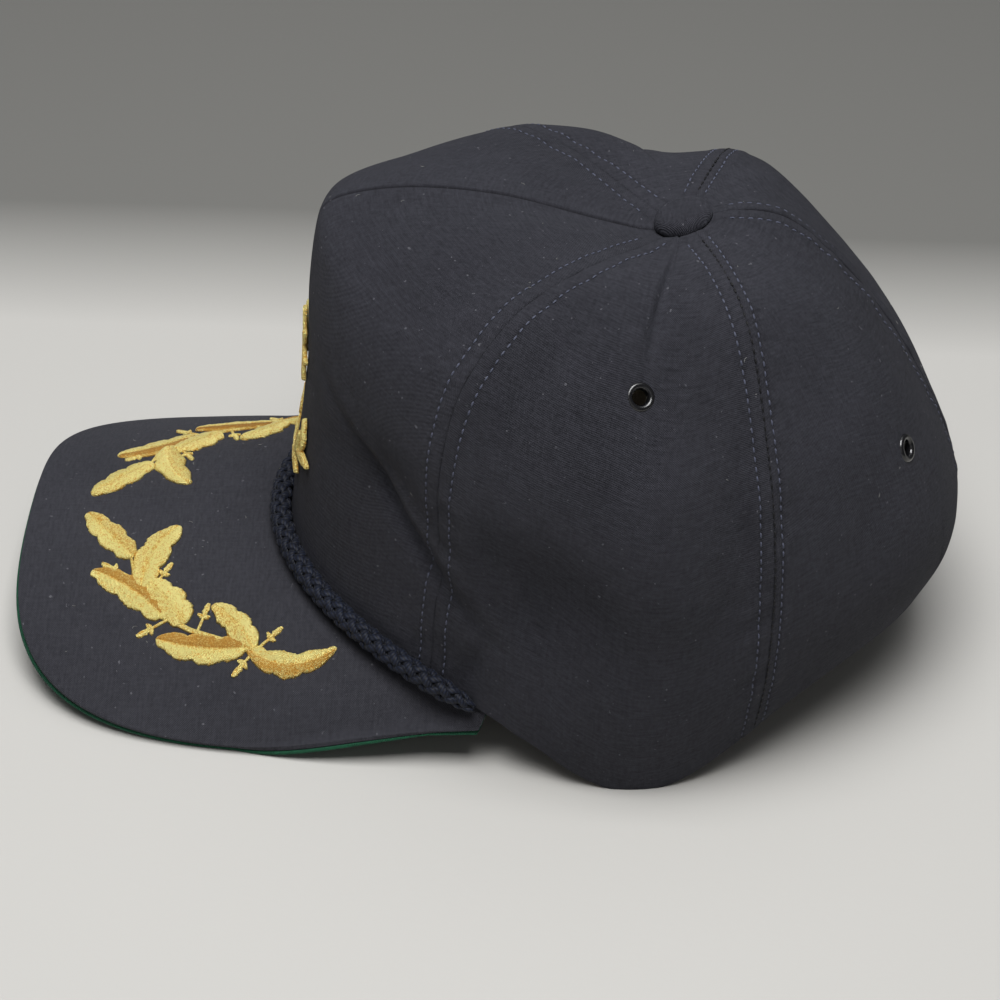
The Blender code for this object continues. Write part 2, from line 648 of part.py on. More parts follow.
def fused_relief(name, outlines, slice_width, lay, material, parent):
    """Flat prisms over outlines, fused to one body, sliced and laid on a curved surface.

    Each outline comes with its relief. The function lay takes flat points with their height and
    gives their places on the hat.
    """
    prisms = []
    for number, (outline, relief) in enumerate(outlines):
        work = bmesh.new()
        foot = 0.00002 * (number % 5)
        corners = [work.verts.new((x, y, foot)) for x, y in outline]
        face = work.faces.new(corners)
        if face.normal.z == 0.0:
            face.normal_update()
        raised = bmesh.ops.extrude_face_region(work, geom=[face])
        top = [item for item in raised["geom"] if isinstance(item, bmesh.types.BMVert)]
        bmesh.ops.translate(work, verts=top, vec=(0.0, 0.0, relief - foot))
        bmesh.ops.recalc_face_normals(work, faces=work.faces)
        mesh = bpy.data.meshes.new("%s_prism_%d" % (name, number))
        work.to_mesh(mesh)
        work.free()
        prism = bpy.data.objects.new("%s_prism_%d" % (name, number), mesh)
        bpy.context.collection.objects.link(prism)
        prisms.append(prism)
    first = prisms[0]
    for prism in prisms[1:]:
        cut(first, prism, "UNION")
    bpy.context.view_layer.update()
    evaluated = first.evaluated_get(bpy.context.evaluated_depsgraph_get())
    work = bmesh.new()
    work.from_mesh(evaluated.to_mesh())
    evaluated.to_mesh_clear()
    for prism in prisms:
        bpy.data.objects.remove(prism)
    bmesh.ops.dissolve_degenerate(work, edges=work.edges, dist=1e-6)
    for axis in (0, 1):
        places = [vert.co[axis] for vert in work.verts]
        slices = np.arange(math.floor(min(places) / slice_width) + 1, max(places) / slice_width)
        for place in slices:
            plane = Vector((0.0, 0.0, 0.0))
            plane[axis] = place * slice_width
            normal = Vector((0.0, 0.0, 0.0))
            normal[axis] = 1.0
            everything = list(work.verts) + list(work.edges) + list(work.faces)
            bmesh.ops.bisect_plane(work, geom=everything, plane_co=plane, plane_no=normal, dist=1e-6)
    bmesh.ops.triangulate(work, faces=work.faces)
    flat = np.array([vert.co[:] for vert in work.verts])
    for vert, place in zip(work.verts, lay(flat)):
        vert.co = place
    bmesh.ops.recalc_face_normals(work, faces=work.faces)
    mesh = bpy.data.meshes.new(name)
    work.to_mesh(mesh)
    work.free()
    return add_object(name, mesh, material, parent)


def lay_on_visor(flat):
    """Places on the visor for flat points across and forward from the crown's front."""
    front = BUTTON_SETBACK - HALF_LENGTH * SECTION_RADII[0, 0]
    fine_across, fine_forward = np.meshgrid(np.linspace(-1.0, 1.0, 121), np.linspace(0.0, 1.0, 61))
    surface = visor_surface(fine_across, fine_forward).reshape(-1, 3)
    normals = visor_normals(fine_across, fine_forward).reshape(-1, 3)
    plan = np.stack([flat[:, 0], front - flat[:, 1]], axis=1)
    apart = np.linalg.norm(surface[None, :, :2] - plan[:, None, :], axis=2)
    nearest = np.argsort(apart, axis=1)[:, :4]
    weight = 1.0 / (np.take_along_axis(apart, nearest, axis=1) + 1e-5)
    weight /= weight.sum(axis=1, keepdims=True)
    slope = normals[nearest]
    there = surface[nearest]
    run = np.sum((plan[:, None, :] - there[..., :2]) * slope[..., :2], axis=2)
    height = there[..., 2] - run / slope[..., 2]
    height = np.sum(weight * height, axis=1)
    normal = np.sum(weight[..., None] * slope, axis=1)
    normal /= np.linalg.norm(normal, axis=1, keepdims=True)
    base = np.column_stack([plan, height])
    return base + normal * (CLEARANCE + flat[:, 2:3])


def lay_on_front(flat):
    """Places on the front panel for flat points across and up from the middle of its rim."""
    levels = np.linspace(0.0, 0.5, 101)
    middle, _ = crown(np.zeros(101), levels)
    run = np.concatenate([[0.0], np.cumsum(np.linalg.norm(np.diff(middle, axis=0), axis=1))])
    level = np.interp(flat[:, 1], run, levels)
    turns = np.linspace(-30.0, 30.0, 121)
    turn = np.zeros(len(flat))
    for index, (across, _, _) in enumerate(flat):
        row, _ = crown(turns, np.full(121, level[index]))
        along = np.concatenate([[0.0], np.cumsum(np.linalg.norm(np.diff(row, axis=0), axis=1))])
        turn[index] = np.interp(across, along - along[60], turns)
    points, normals = crown(turn, level)
    return points + normals * (CLEARANCE + flat[:, 2:3])


def make_branch(name, side, material, parent):
    """An oak branch on one half of the visor: leaves, acorns and the stem that joins them."""
    size = np.array([VISOR_HALF_WIDTH * side, VISOR_REACH])
    outlines = [(ribbon_outline(np.array(STEM) * size, STEM_WIDTH), 0.0007)]
    for base_across, base_forward, tip_across, tip_forward, width, bow, relief in LEAVES:
        base = np.array([base_across, base_forward]) * size
        tip = np.array([tip_across, tip_forward]) * size
        outlines.append((leaf_outline(base, tip, width, bow * side, LEAF_LOBES), relief))
    for across, forward, foot_across, foot_forward, relief in ACORNS:
        centre = np.array([across, forward]) * size
        foot = np.array([foot_across, foot_forward]) * size
        direction = math.atan2(*(centre - foot)[::-1])
        outlines.append((ellipse_outline(centre, ACORN_LENGTH, ACORN_WIDTH, direction, 8), relief))
        outlines.append((ribbon_outline((foot, (foot + centre) / 2.0, centre), STALK_WIDTH), 0.8 * relief))
    return fused_relief(name, outlines, SLICE_WIDTH, lay_on_visor, material, parent)


def make_emblem(material, parent):
    """A plain star over two open sprigs on the front panel."""
    star = [(star_outline((0.0, STAR_CENTRE), STAR_RADIUS, STAR_POINTS), EMBLEM_RELIEF)]
    fused_relief("emblem_star", star, SLICE_WIDTH, lay_on_front, material, parent)
    angles = np.radians(np.linspace(-150.0, -30.0, 11))
    middle = np.array([0.0, SPRIG_CENTRE])
    arc = middle + SPRIG_RADIUS * np.stack([np.cos(angles), np.sin(angles)], axis=1)
    outlines = [(ribbon_outline(arc, SPRIG_STEM_WIDTH), 0.7 * EMBLEM_RELIEF)]
    for side in (-1.0, 1.0):
        for number in range(SPRIG_LEAVES):
            angle = math.radians(SPRIG_FIRST_ANGLE + SPRIG_STEP_ANGLE * number)
            reach = np.array([side * math.cos(angle), math.sin(angle)])
            root = middle + SPRIG_RADIUS * reach
            splay = angle + math.pi / 2.0 + (0.75 if number % 2 else -0.55)
            tip = root + SPRIG_LEAF_LENGTH * np.array([side * math.cos(splay), math.sin(splay)])
            relief = EMBLEM_RELIEF * (0.8 + 0.05 * number)
            outlines.append((leaf_outline(root, tip, 0.42, 0.0, 1.0), relief))
    fused_relief("emblem_sprigs", outlines, SLICE_WIDTH, lay_on_front, material, parent)


def main():
    """Build every piece and stand the hat with the middle of its box on the origin."""
    for old in list(bpy.data.objects):
        bpy.data.objects.remove(old)
    hat = bpy.data.objects.new("hat", None)
    bpy.context.collection.objects.link(hat)
    twill = make_material("navy_twill", (0.012, 0.014, 0.026), 0.85)
    covered = make_material("covered_button", (0.012, 0.014, 0.026), 0.80)
    board = make_material("visor_cloth", (0.012, 0.014, 0.024), 0.85)
    green = make_material("green_lining", (0.010, 0.110, 0.055), 0.80)
    braid = make_material("navy_braid", (0.014, 0.022, 0.060), 0.70)
    band = make_material("beige_sweatband", (0.480, 0.420, 0.330), 0.90)
    gold = make_material("gold_thread", (0.600, 0.360, 0.070), 0.40, 0.6)
    lacquer = make_material("black_eyelet", (0.010, 0.010, 0.012), 0.25, 0.8)
    plastic = make_material("black_plastic", (0.014, 0.015, 0.020), 0.45)

    make_panel("front_panel", -FRONT_SEAM_TURN, FRONT_SEAM_TURN, twill, hat)
    for word, side in (("left", 1.0), ("right", -1.0)):
        seams = [side * turn for turn in (FRONT_SEAM_TURN, SIDE_SEAM_TURN, BACK_SEAM_TURN)]
        panels = {
            "side": make_panel("side_panel_" + word, seams[0], seams[1], twill, hat),
            "back": make_panel("back_panel_" + word, seams[1], seams[2], twill, hat),
        }
        for place, turn, level in EYELETS:
            make_eyelet("eyelet_%s_%s" % (place, word), side * turn, level, panels[place], lacquer, hat)
        make_branch("oak_branch_" + word, side, gold, hat)
    make_button(covered, hat)
    make_visor(board, green, hat)
    make_rope(braid, hat)
    make_sweatband(band, hat)
    make_straps(plastic, hat)
    make_emblem(gold, hat)

    lining = bpy.data.objects["visor_lining"].data
    front = min(vert.co.y for vert in lining.vertices)
    back = max(vert.co.y for word in ("left", "right")
               for vert in bpy.data.objects["back_panel_" + word].data.vertices)
    hat.location = (0.0, -(front + back) / 2.0, 0.0)


main()
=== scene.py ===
"""The looks of a navy rope hat with a gold oak branch on each half of its visor.

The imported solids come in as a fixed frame. Each class below is one sub-assembly of the hat. It works
out its surfaces as whole arrays, puts them into meshes and dresses them. Lengths are metres, +Z is up
and the visor points along -Y. A place on the crown is a turn about the button's axis, in degrees from
the front towards the wearer's left, and a level from 0 at the rim to 1 at the button.
"""

import logging
import math
from dataclasses import dataclass, field
from enum import Enum
from typing import Any, Sequence

import bmesh
import bpy
import numpy as np
from mathutils import Matrix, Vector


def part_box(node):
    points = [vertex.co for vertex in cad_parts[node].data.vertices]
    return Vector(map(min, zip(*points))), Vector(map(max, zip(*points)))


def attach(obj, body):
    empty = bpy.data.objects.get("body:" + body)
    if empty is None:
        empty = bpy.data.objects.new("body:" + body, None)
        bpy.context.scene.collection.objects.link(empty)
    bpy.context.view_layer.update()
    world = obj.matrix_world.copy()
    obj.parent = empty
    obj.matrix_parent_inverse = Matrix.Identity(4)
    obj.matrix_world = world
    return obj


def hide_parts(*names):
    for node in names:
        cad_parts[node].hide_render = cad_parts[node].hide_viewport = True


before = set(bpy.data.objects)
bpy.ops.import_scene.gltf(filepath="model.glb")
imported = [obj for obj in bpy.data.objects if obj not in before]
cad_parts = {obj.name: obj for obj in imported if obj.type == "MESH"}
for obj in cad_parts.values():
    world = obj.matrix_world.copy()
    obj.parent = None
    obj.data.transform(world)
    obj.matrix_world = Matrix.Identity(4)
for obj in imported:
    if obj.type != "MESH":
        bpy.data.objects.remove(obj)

Array = np.ndarray
Object = bpy.types.Object
log = logging.getLogger("rope_hat")

# Crown sections: for each turn, the radius at each level as a share of the half length or half
# width, and the height at each level as a share of the crown's height
LEVELS = (0.00, 0.12, 0.26, 0.40, 0.50, 0.56, 0.63, 0.75, 0.87, 0.955, 1.00)
SECTIONS = (
    (0.0, (1.122, 1.103, 1.069, 1.061, 1.042, 1.003, 0.863, 0.608, 0.353, 0.088, 0.025),
     (0.202, 0.370, 0.571, 0.762, 0.906, 0.955, 0.985, 0.992, 0.962, 0.926, 0.932)),
    (28.0, (1.070, 1.052, 1.037, 1.033, 0.993, 0.940, 0.805, 0.578, 0.331, 0.090, 0.025),
     (0.184, 0.360, 0.558, 0.725, 0.845, 0.896, 0.950, 0.978, 0.963, 0.928, 0.933)),
    (50.0, (1.036, 1.022, 1.006, 1.020, 0.972, 0.915, 0.780, 0.552, 0.313, 0.094, 0.026),
     (0.158, 0.316, 0.492, 0.658, 0.796, 0.857, 0.926, 0.960, 0.950, 0.933, 0.935)),
    (68.0, (1.026, 1.031, 1.022, 1.006, 0.939, 0.875, 0.745, 0.529, 0.302, 0.097, 0.027),
     (0.090, 0.256, 0.436, 0.612, 0.748, 0.811, 0.890, 0.948, 0.953, 0.939, 0.939)),
    (85.0, (1.001, 1.032, 1.026, 0.994, 0.911, 0.845, 0.730, 0.527, 0.307, 0.099, 0.027),
     (-0.012, 0.168, 0.354, 0.531, 0.668, 0.735, 0.818, 0.909, 0.950, 0.946, 0.941)),
    (107.0, (0.912, 0.950, 0.945, 0.882, 0.794, 0.729, 0.643, 0.497, 0.283, 0.098, 0.027),
     (0.101, 0.256, 0.425, 0.593, 0.712, 0.776, 0.855, 0.938, 0.964, 0.956, 0.946)),
    (142.0, (0.838, 0.898, 0.884, 0.808, 0.717, 0.655, 0.572, 0.432, 0.243, 0.092, 0.026),
     (0.188, 0.313, 0.450, 0.586, 0.698, 0.755, 0.824, 0.910, 0.962, 0.962, 0.950)),
    (180.0, (0.846, 0.902, 0.871, 0.786, 0.691, 0.631, 0.548, 0.418, 0.240, 0.088, 0.025),
     (0.172, 0.288, 0.408, 0.541, 0.657, 0.720, 0.796, 0.893, 0.975, 0.967, 0.952)),
)

# Folds and dents: turn, level, spread in turn, spread in level, lean in turn for each level, and
# depth as a share of the half width, less than nothing for a fold that stands out
DENTS = (
    (68.0, 0.24, 7.0, 0.10, -20.0, 0.062),
    (56.0, 0.33, 3.6, 0.16, 8.0, -0.022),
    (33.0, 0.27, 9.0, 0.07, 60.0, 0.036),
    (62.0, 0.60, 6.0, 0.14, 10.0, 0.026),
    (99.0, 0.30, 4.0, 0.14, 0.0, 0.020),
    (-66.0, 0.28, 8.0, 0.10, 15.0, 0.040),
    (-30.0, 0.25, 9.0, 0.08, -50.0, 0.028),
    (80.5, 0.80, 1.6, 0.13, 0.0, 0.019),
    (77.0, 0.79, 2.2, 0.14, 0.0, -0.009),
    (102.0, 0.40, 1.8, 0.12, -20.0, 0.016),
    (59.0, 0.30, 1.8, 0.08, -12.0, 0.018),
    (76.0, 0.30, 7.5, 0.09, -25.0, 0.054),
    (86.0, 0.52, 8.0, 0.07, 0.0, -0.014),
    (92.0, 0.34, 4.0, 0.10, -40.0, -0.010),
    (57.5, 0.07, 1.8, 0.05, 30.0, 0.020),
    (66.0, 0.06, 1.8, 0.06, 0.0, -0.010),
    (70.5, 0.08, 1.8, 0.06, 0.0, 0.011),
    (75.0, 0.06, 2.0, 0.05, 0.0, -0.005),
    (42.5, 0.23, 4.5, 0.08, -190.0, 0.030),
    (42.5, 0.28, 4.0, 0.07, -190.0, -0.012),
    (-80.0, 0.79, 2.0, 0.12, 0.0, 0.009),
    (-102.0, 0.40, 2.4, 0.12, 10.0, 0.009),
    (128.0, 0.30, 6.0, 0.09, 30.0, 0.012),
    (-131.0, 0.34, 6.0, 0.10, -30.0, 0.012),
)

# Oak branch on the visor's left half, mirrored on its right half. Places are shares of the visor's
# half width across and of its reach forward from the crown's front. A leaf has its width and its
# bow as shares of its length. Its shades are painted shade that darkens the half on one side of its
# midrib, on the left branch and on the right branch.
LEAVES = (
    # base across, base forward, tip across, tip forward, width, bow, relief, left shade, right shade
    (0.285, 0.575, 0.055, 0.780, 0.37, 0.00, 0.0010, 0.35, 0.15),
    (0.425, 0.525, 0.127, 0.415, 0.40, -0.10, 0.0012, -0.20, 0.20),
    (0.545, 0.435, 0.345, 0.722, 0.35, 0.06, 0.0009, 0.70, 0.85),
    (0.570, 0.340, 0.390, 0.500, 0.56, 0.00, 0.0011, -0.15, 0.15),
    (0.675, 0.110, 0.630, 0.450, 0.34, -0.05, 0.0009, 0.75, 0.95),
    (0.685, 0.080, 0.500, 0.250, 0.41, 0.06, 0.0012, -0.20, 0.10),
    (0.675, 0.110, 0.706, -0.225, 0.29, 0.17, 0.0010, 0.60, 0.70),
)
ACORNS = (
    # across, forward, foot across, foot forward, relief
    (0.330, 0.655, 0.400, 0.530, 0.0008),
    (0.345, 0.440, 0.450, 0.500, 0.0007),
    (0.600, 0.490, 0.555, 0.410, 0.0008),
    (0.530, 0.275, 0.610, 0.300, 0.0007),
    (0.745, 0.130, 0.690, 0.080, 0.0008),
    (0.630, 0.010, 0.690, 0.080, 0.0007),
)
STEM = ((0.275, 0.585), (0.360, 0.560), (0.430, 0.523), (0.540, 0.438), (0.600, 0.325),
        (0.640, 0.203), (0.690, 0.070))


class Side(Enum):
    """The two halves of the hat, as the wearer has them."""

    LEFT = 1.0
    RIGHT = -1.0

    @property
    def word(self) -> str:
        """The side's word in the names of pieces."""
        return self.name.lower()


def spline_rows(knots: Sequence[float], places: Array, flat_ends: bool) -> Array:
    """Weights that read a cubic spline through the knots.

    The second derivatives at the knots solve the usual three-term equations, and each row blends
    the two knots beside its place with those derivatives.

    Args:
        knots: Rising places of the known values.
        places: Where the spline is read.
        flat_ends: Whether the slope is nothing at both ends, or else the bend is.

    Returns:
        A row of weights on the known values for each place.
    """
    knots = np.asarray(knots, float)
    count = len(knots)
    step = np.diff(knots)
    inner = np.arange(1, count - 1)
    left = np.zeros((count, count))
    right = np.zeros((count, count))
    left[inner, inner - 1] = step[:-1]
    left[inner, inner] = 2.0 * (step[:-1] + step[1:])
    left[inner, inner + 1] = step[1:]
    right[inner, inner - 1] = 6.0 / step[:-1]
    right[inner, inner] = -6.0 / step[:-1] - 6.0 / step[1:]
    right[inner, inner + 1] = 6.0 / step[1:]
    if flat_ends:
        left[0, :2] = (2.0 * step[0], step[0])
        right[0, :2] = (-6.0 / step[0], 6.0 / step[0])
        left[-1, -2:] = (step[-1], 2.0 * step[-1])
        right[-1, -2:] = (6.0 / step[-1], -6.0 / step[-1])
    else:
        left[0, 0] = 1.0
        left[-1, -1] = 1.0
    bend = np.linalg.solve(left, right)
    places = np.clip(np.ravel(places), knots[0], knots[-1])
    index = np.clip(np.searchsorted(knots, places, side="right") - 1, 0, count - 2)
    width = step[index]
    high = (places - knots[index]) / width
    low = 1.0 - high
    unit = np.eye(count)
    rows = low[:, None] * unit[index] + high[:, None] * unit[index + 1]
    rows += ((low**3 - low) * width**2 / 6.0)[:, None] * bend[index]
    rows += ((high**3 - high) * width**2 / 6.0)[:, None] * bend[index + 1]
    return rows


def eased(value: Array, low: float, high: float) -> Array:
    """A smooth rise from 0 at low to 1 at high: 3t² - 2t³ of the clipped share t."""
    share = np.clip((value - low) / (high - low), 0.0, 1.0)
    return share * share * (3.0 - 2.0 * share)


def ripple(across: Array, along: Array, seed: float) -> Array:
    """Smooth noise between -1 and 1 on a lattice of unit squares.

    Each corner's value is the fraction of a large sine of its place, and the four corners are
    blended with eased shares.

    Args:
        across: Places in lattice units.
        along: Places in lattice units.
        seed: A number that picks another pattern.

    Returns:
        The noise at each place.
    """
    across, along = np.broadcast_arrays(np.asarray(across, float), np.asarray(along, float))
    column, row = np.floor(across), np.floor(along)

    def corner(right: int, up: int) -> Array:
        """The value at one corner of each square."""
        wave = np.sin((column + right) * 127.1 + (row + up) * 311.7 + seed * 74.7) * 43758.5453
        return 2.0 * (wave - np.floor(wave)) - 1.0

    right = eased(across - column, 0.0, 1.0)
    up = eased(along - row, 0.0, 1.0)
    low = corner(0, 0) * (1.0 - right) + corner(1, 0) * right
    high = corner(0, 1) * (1.0 - right) + corner(1, 1) * right
    return low * (1.0 - up) + high * up


def unit(vectors: Array) -> Array:
    """The vectors at length one."""
    return vectors / np.maximum(np.linalg.norm(vectors, axis=-1, keepdims=True), 1e-12)


def wrapped(turns: Array) -> Array:
    """Turns between -180 and 180 degrees."""
    return (turns + 180.0) % 360.0 - 180.0


def run_along(path: Array) -> Array:
    """The length of a path up to each of its points."""
    return np.concatenate([[0.0], np.cumsum(np.linalg.norm(np.diff(path, axis=0), axis=1))])


class Socket:
    """A node's output with arithmetic, so that a shader reads as an expression."""

    def __init__(self, tree: bpy.types.NodeTree, output: bpy.types.NodeSocket) -> None:
        """Hold the output and its tree."""
        self.tree = tree
        self.output = output

    def math(self, operation: str, first: Any, second: Any = None) -> "Socket":
        """A Math node.

        Args:
            operation: The node's operation.
            first: A socket or a number.
            second: A socket or a number, where the operation has one.

        Returns:
            The node's value.
        """
        node = self.tree.nodes.new("ShaderNodeMath")
        node.operation = operation
        for slot, value in zip(node.inputs, (first, second)):
            if isinstance(value, Socket):
                self.tree.links.new(value.output, slot)
            elif value is not None:
                slot.default_value = value
        return Socket(self.tree, node.outputs[0])

    def __add__(self, other: Any) -> "Socket":
        """The sum."""
        return self.math("ADD", self, other)

    def __radd__(self, other: Any) -> "Socket":
        """The sum, from the right."""
        return self.math("ADD", other, self)

    def __sub__(self, other: Any) -> "Socket":
        """The difference."""
        return self.math("SUBTRACT", self, other)

    def __rsub__(self, other: Any) -> "Socket":
        """The difference, from the right."""
        return self.math("SUBTRACT", other, self)

    def __mul__(self, other: Any) -> "Socket":
        """The product."""
        return self.math("MULTIPLY", self, other)

    def __rmul__(self, other: Any) -> "Socket":
        """The product, from the right."""
        return self.math("MULTIPLY", other, self)

    def __abs__(self) -> "Socket":
        """The size without its sign."""
        return self.math("ABSOLUTE", self)

    def sine(self) -> "Socket":
        """The sine."""
        return self.math("SINE", self)

    def above(self, edge: float, softness: float) -> "Socket":
        """A mask that rises from 0 at the edge to 1 over the softness."""
        rise = self.math("MULTIPLY", self - edge, 1.0 / softness)
        rise.output.node.use_clamp = True
        return rise


class Finish:
    """A material under construction: its tree, its shader and one method for nodes."""

    def __init__(self, name: str) -> None:
        """Start a Principled material.

        Args:
            name: The material's name.
        """
        self.material = bpy.data.materials.new(name)
        self.material.use_nodes = True
        self.tree = self.material.node_tree
        self.shader = self.tree.nodes["Principled BSDF"]

    def node(self, kind: str, settings: dict[str, Any] | None = None,
             inputs: dict[Any, Any] | None = None, output: Any = 0) -> Socket:
        """Any node but a Math node.

        Args:
            kind: The node's type.
            settings: Its properties, and a ramp's stops as pairs of place and colour.
            inputs: Values or sockets by the names or numbers of the node's sockets.
            output: The name or number of the output that is wanted.

        Returns:
            That output.
        """
        made = self.tree.nodes.new(kind)
        for key, value in (settings or {}).items():
            if key == "stops":
                ramp = made.color_ramp.elements
                while len(ramp) < len(value):
                    ramp.new(0.5)
                for stop, (place, colour) in zip(ramp, value):
                    stop.position = place
                    stop.color = (*colour, 1.0)
            else:
                setattr(made, key, value)
        for key, value in (inputs or {}).items():
            if isinstance(value, Socket):
                self.tree.links.new(value.output, made.inputs[key])
            else:
                made.inputs[key].default_value = value
        return Socket(self.tree, made.outputs[output])

    def mix(self, share: Any, low: Any, high: Any) -> Socket:
        """A blend of two colours.

        Args:
            share: How much of the second, as a socket or a number.
            low: The first colour, as a socket or three numbers.
            high: The second colour, as a socket or three numbers.

        Returns:
            The blended colour.
        """
        colours = [value if isinstance(value, Socket) else (*value, 1.0) for value in (low, high)]
        return self.node("ShaderNodeMix", {"data_type": "RGBA"},
                         {0: share, 6: colours[0], 7: colours[1]}, 2)

    def noise(self, vector: Socket, scale: float, detail: float, roughness: float = 0.5) -> Socket:
        """A noise value about one half.

        Args:
            vector: Where it is read.
            scale: Cycles for each unit of the vector.
            detail: Finer layers on top of the first.
            roughness: The strength of the finer layers.

        Returns:
            The noise.
        """
        return self.node("ShaderNodeTexNoise", {},
                         {"Vector": vector, "Scale": scale, "Detail": detail, "Roughness": roughness})

    def stretched(self, vector: Socket, scale: tuple[float, float, float]) -> Socket:
        """The vector stretched along its axes."""
        return self.node("ShaderNodeMapping", {}, {"Vector": vector, "Scale": scale})

    def tone(self) -> Socket:
        """The piece's tone value: painted shade, worked out with its surface."""
        return self.node("ShaderNodeAttribute", {"attribute_name": "tone"}, {}, "Fac")

    def fixed(self, values: dict[str, Any]) -> None:
        """Set what is the same all over on the shader's own sockets."""
        for key, value in values.items():
            self.shader.inputs[key].default_value = value

    def close(self, colour: Socket, roughness: Any, height: Socket, depth: float
              ) -> bpy.types.Material:
        """Link what changes over the surface into the shader.

        Args:
            colour: The base colour.
            roughness: The roughness, as a socket or a number.
            height: The height of the fine relief.
            depth: What a height of one stands for, in metres.

        Returns:
            The finished material.
        """
        self.tree.links.new(colour.output, self.shader.inputs["Base Color"])
        if isinstance(roughness, Socket):
            self.tree.links.new(roughness.output, self.shader.inputs["Roughness"])
        else:
            self.shader.inputs["Roughness"].default_value = roughness
        bump = self.node("ShaderNodeBump", {}, {"Height": height, "Distance": depth})
        self.tree.links.new(bump.output, self.shader.inputs["Normal"])
        return self.material


@dataclass(frozen=True)
class Cloth:
    """Fine woven cotton with mottling, a faint nap, pale flecks of lint and painted shade from its
    tone.
    """

    name: str
    colour: tuple[float, float, float]
    shade: tuple[float, float, float]
    pitch: float = 0.00052
    depth: float = 0.00042
    roughness: float = 0.82
    sheen: float = 0.04
    flecks: float = 0.5

    def material(self) -> bpy.types.Material:
        """The material, whose weave follows the piece's own map in metres."""
        finish = Finish(self.name)
        cloth = finish.node("ShaderNodeUVMap", {"uv_map": "cloth"})
        axes = finish.node("ShaderNodeSeparateXYZ", {}, {0: cloth})
        across = axes
        along = Socket(finish.tree, axes.output.node.outputs[1])
        turn = 2.0 * math.pi / self.pitch
        weave = (across * turn).sine() * (along * turn).sine()
        weft = finish.noise(finish.stretched(cloth, (0.16, 1.0, 1.0)), 1.0 / (1.5 * self.pitch), 2.0)
        warp = finish.noise(finish.stretched(cloth, (1.0, 0.10, 1.0)), 1.0 / (1.6 * self.pitch), 2.0)
        place = finish.node("ShaderNodeTexCoord", {}, {}, "Object")
        cloud = finish.noise(place, 26.0, 3.0)
        grain = finish.noise(place, 900.0, 2.0)
        lint = finish.noise(place, 620.0, 1.0).above(0.748, 0.04) * self.flecks
        worn = (weft * 0.6 + warp * 0.30 + grain * 0.50 + cloud * 0.45).above(0.64, 0.57)
        base = finish.mix(worn, self.shade, self.colour)
        flecked = finish.mix(lint, base, tuple(min(1.0, 0.10 + 2.2 * part) for part in self.colour))
        # painted shade: the tone attribute darkens the colour towards a deep shade
        dark = finish.mix(finish.tone(), flecked, tuple(0.18 * part for part in self.shade))
        height = weave * 0.35 + weft * 0.8 + warp * 0.5 + grain * 0.3
        rough = cloud * 0.12 + (self.roughness - 0.06)
        finish.fixed({"Sheen Weight": self.sheen, "Sheen Roughness": 0.55,
                      "Sheen Tint": (0.62, 0.66, 0.80, 1.0), "Specular IOR Level": 0.25})
        return finish.close(dark, rough, height, self.depth)


@dataclass(frozen=True)
class Yarn:
    """Twisted thread with fibres along each strand, darkened by painted shade from its tone."""

    name: str
    colour: tuple[float, float, float]
    shade: tuple[float, float, float]
    slant: float = 0.8
    pitch: float = 0.0011
    depth: float = 0.00012
    roughness: float = 0.62
    sheen: float = 0.04

    def material(self) -> bpy.types.Material:
        """The material, whose fibres follow the strand's own map in metres."""
        finish = Finish(self.name)
        strand = finish.node("ShaderNodeUVMap", {"uv_map": "cloth"})
        axes = finish.node("ShaderNodeSeparateXYZ", {}, {0: strand})
        along = Socket(finish.tree, axes.output.node.outputs[1])
        ply = ((axes * self.slant + along) * (2.0 * math.pi / self.pitch)).sine() * 0.5 + 0.5
        place = finish.node("ShaderNodeTexCoord", {}, {}, "Object")
        fuzz = finish.noise(place, 1500.0, 2.0)
        cloud = finish.noise(place, 70.0, 2.0)
        worn = (ply * 0.35 + fuzz * 0.5 + cloud * 0.4).above(0.45, 0.5)
        base = finish.mix(worn, self.shade, self.colour)
        # painted shade: the tone darkens the colour, deepest where a rope strand passes under others
        dark = finish.mix(finish.tone(), base, tuple(0.25 * part for part in self.shade))
        finish.fixed({"Sheen Weight": self.sheen, "Sheen Roughness": 0.5, "Specular IOR Level": 0.3})
        return finish.close(dark, self.roughness, ply * 0.7 + fuzz * 0.5, self.depth)


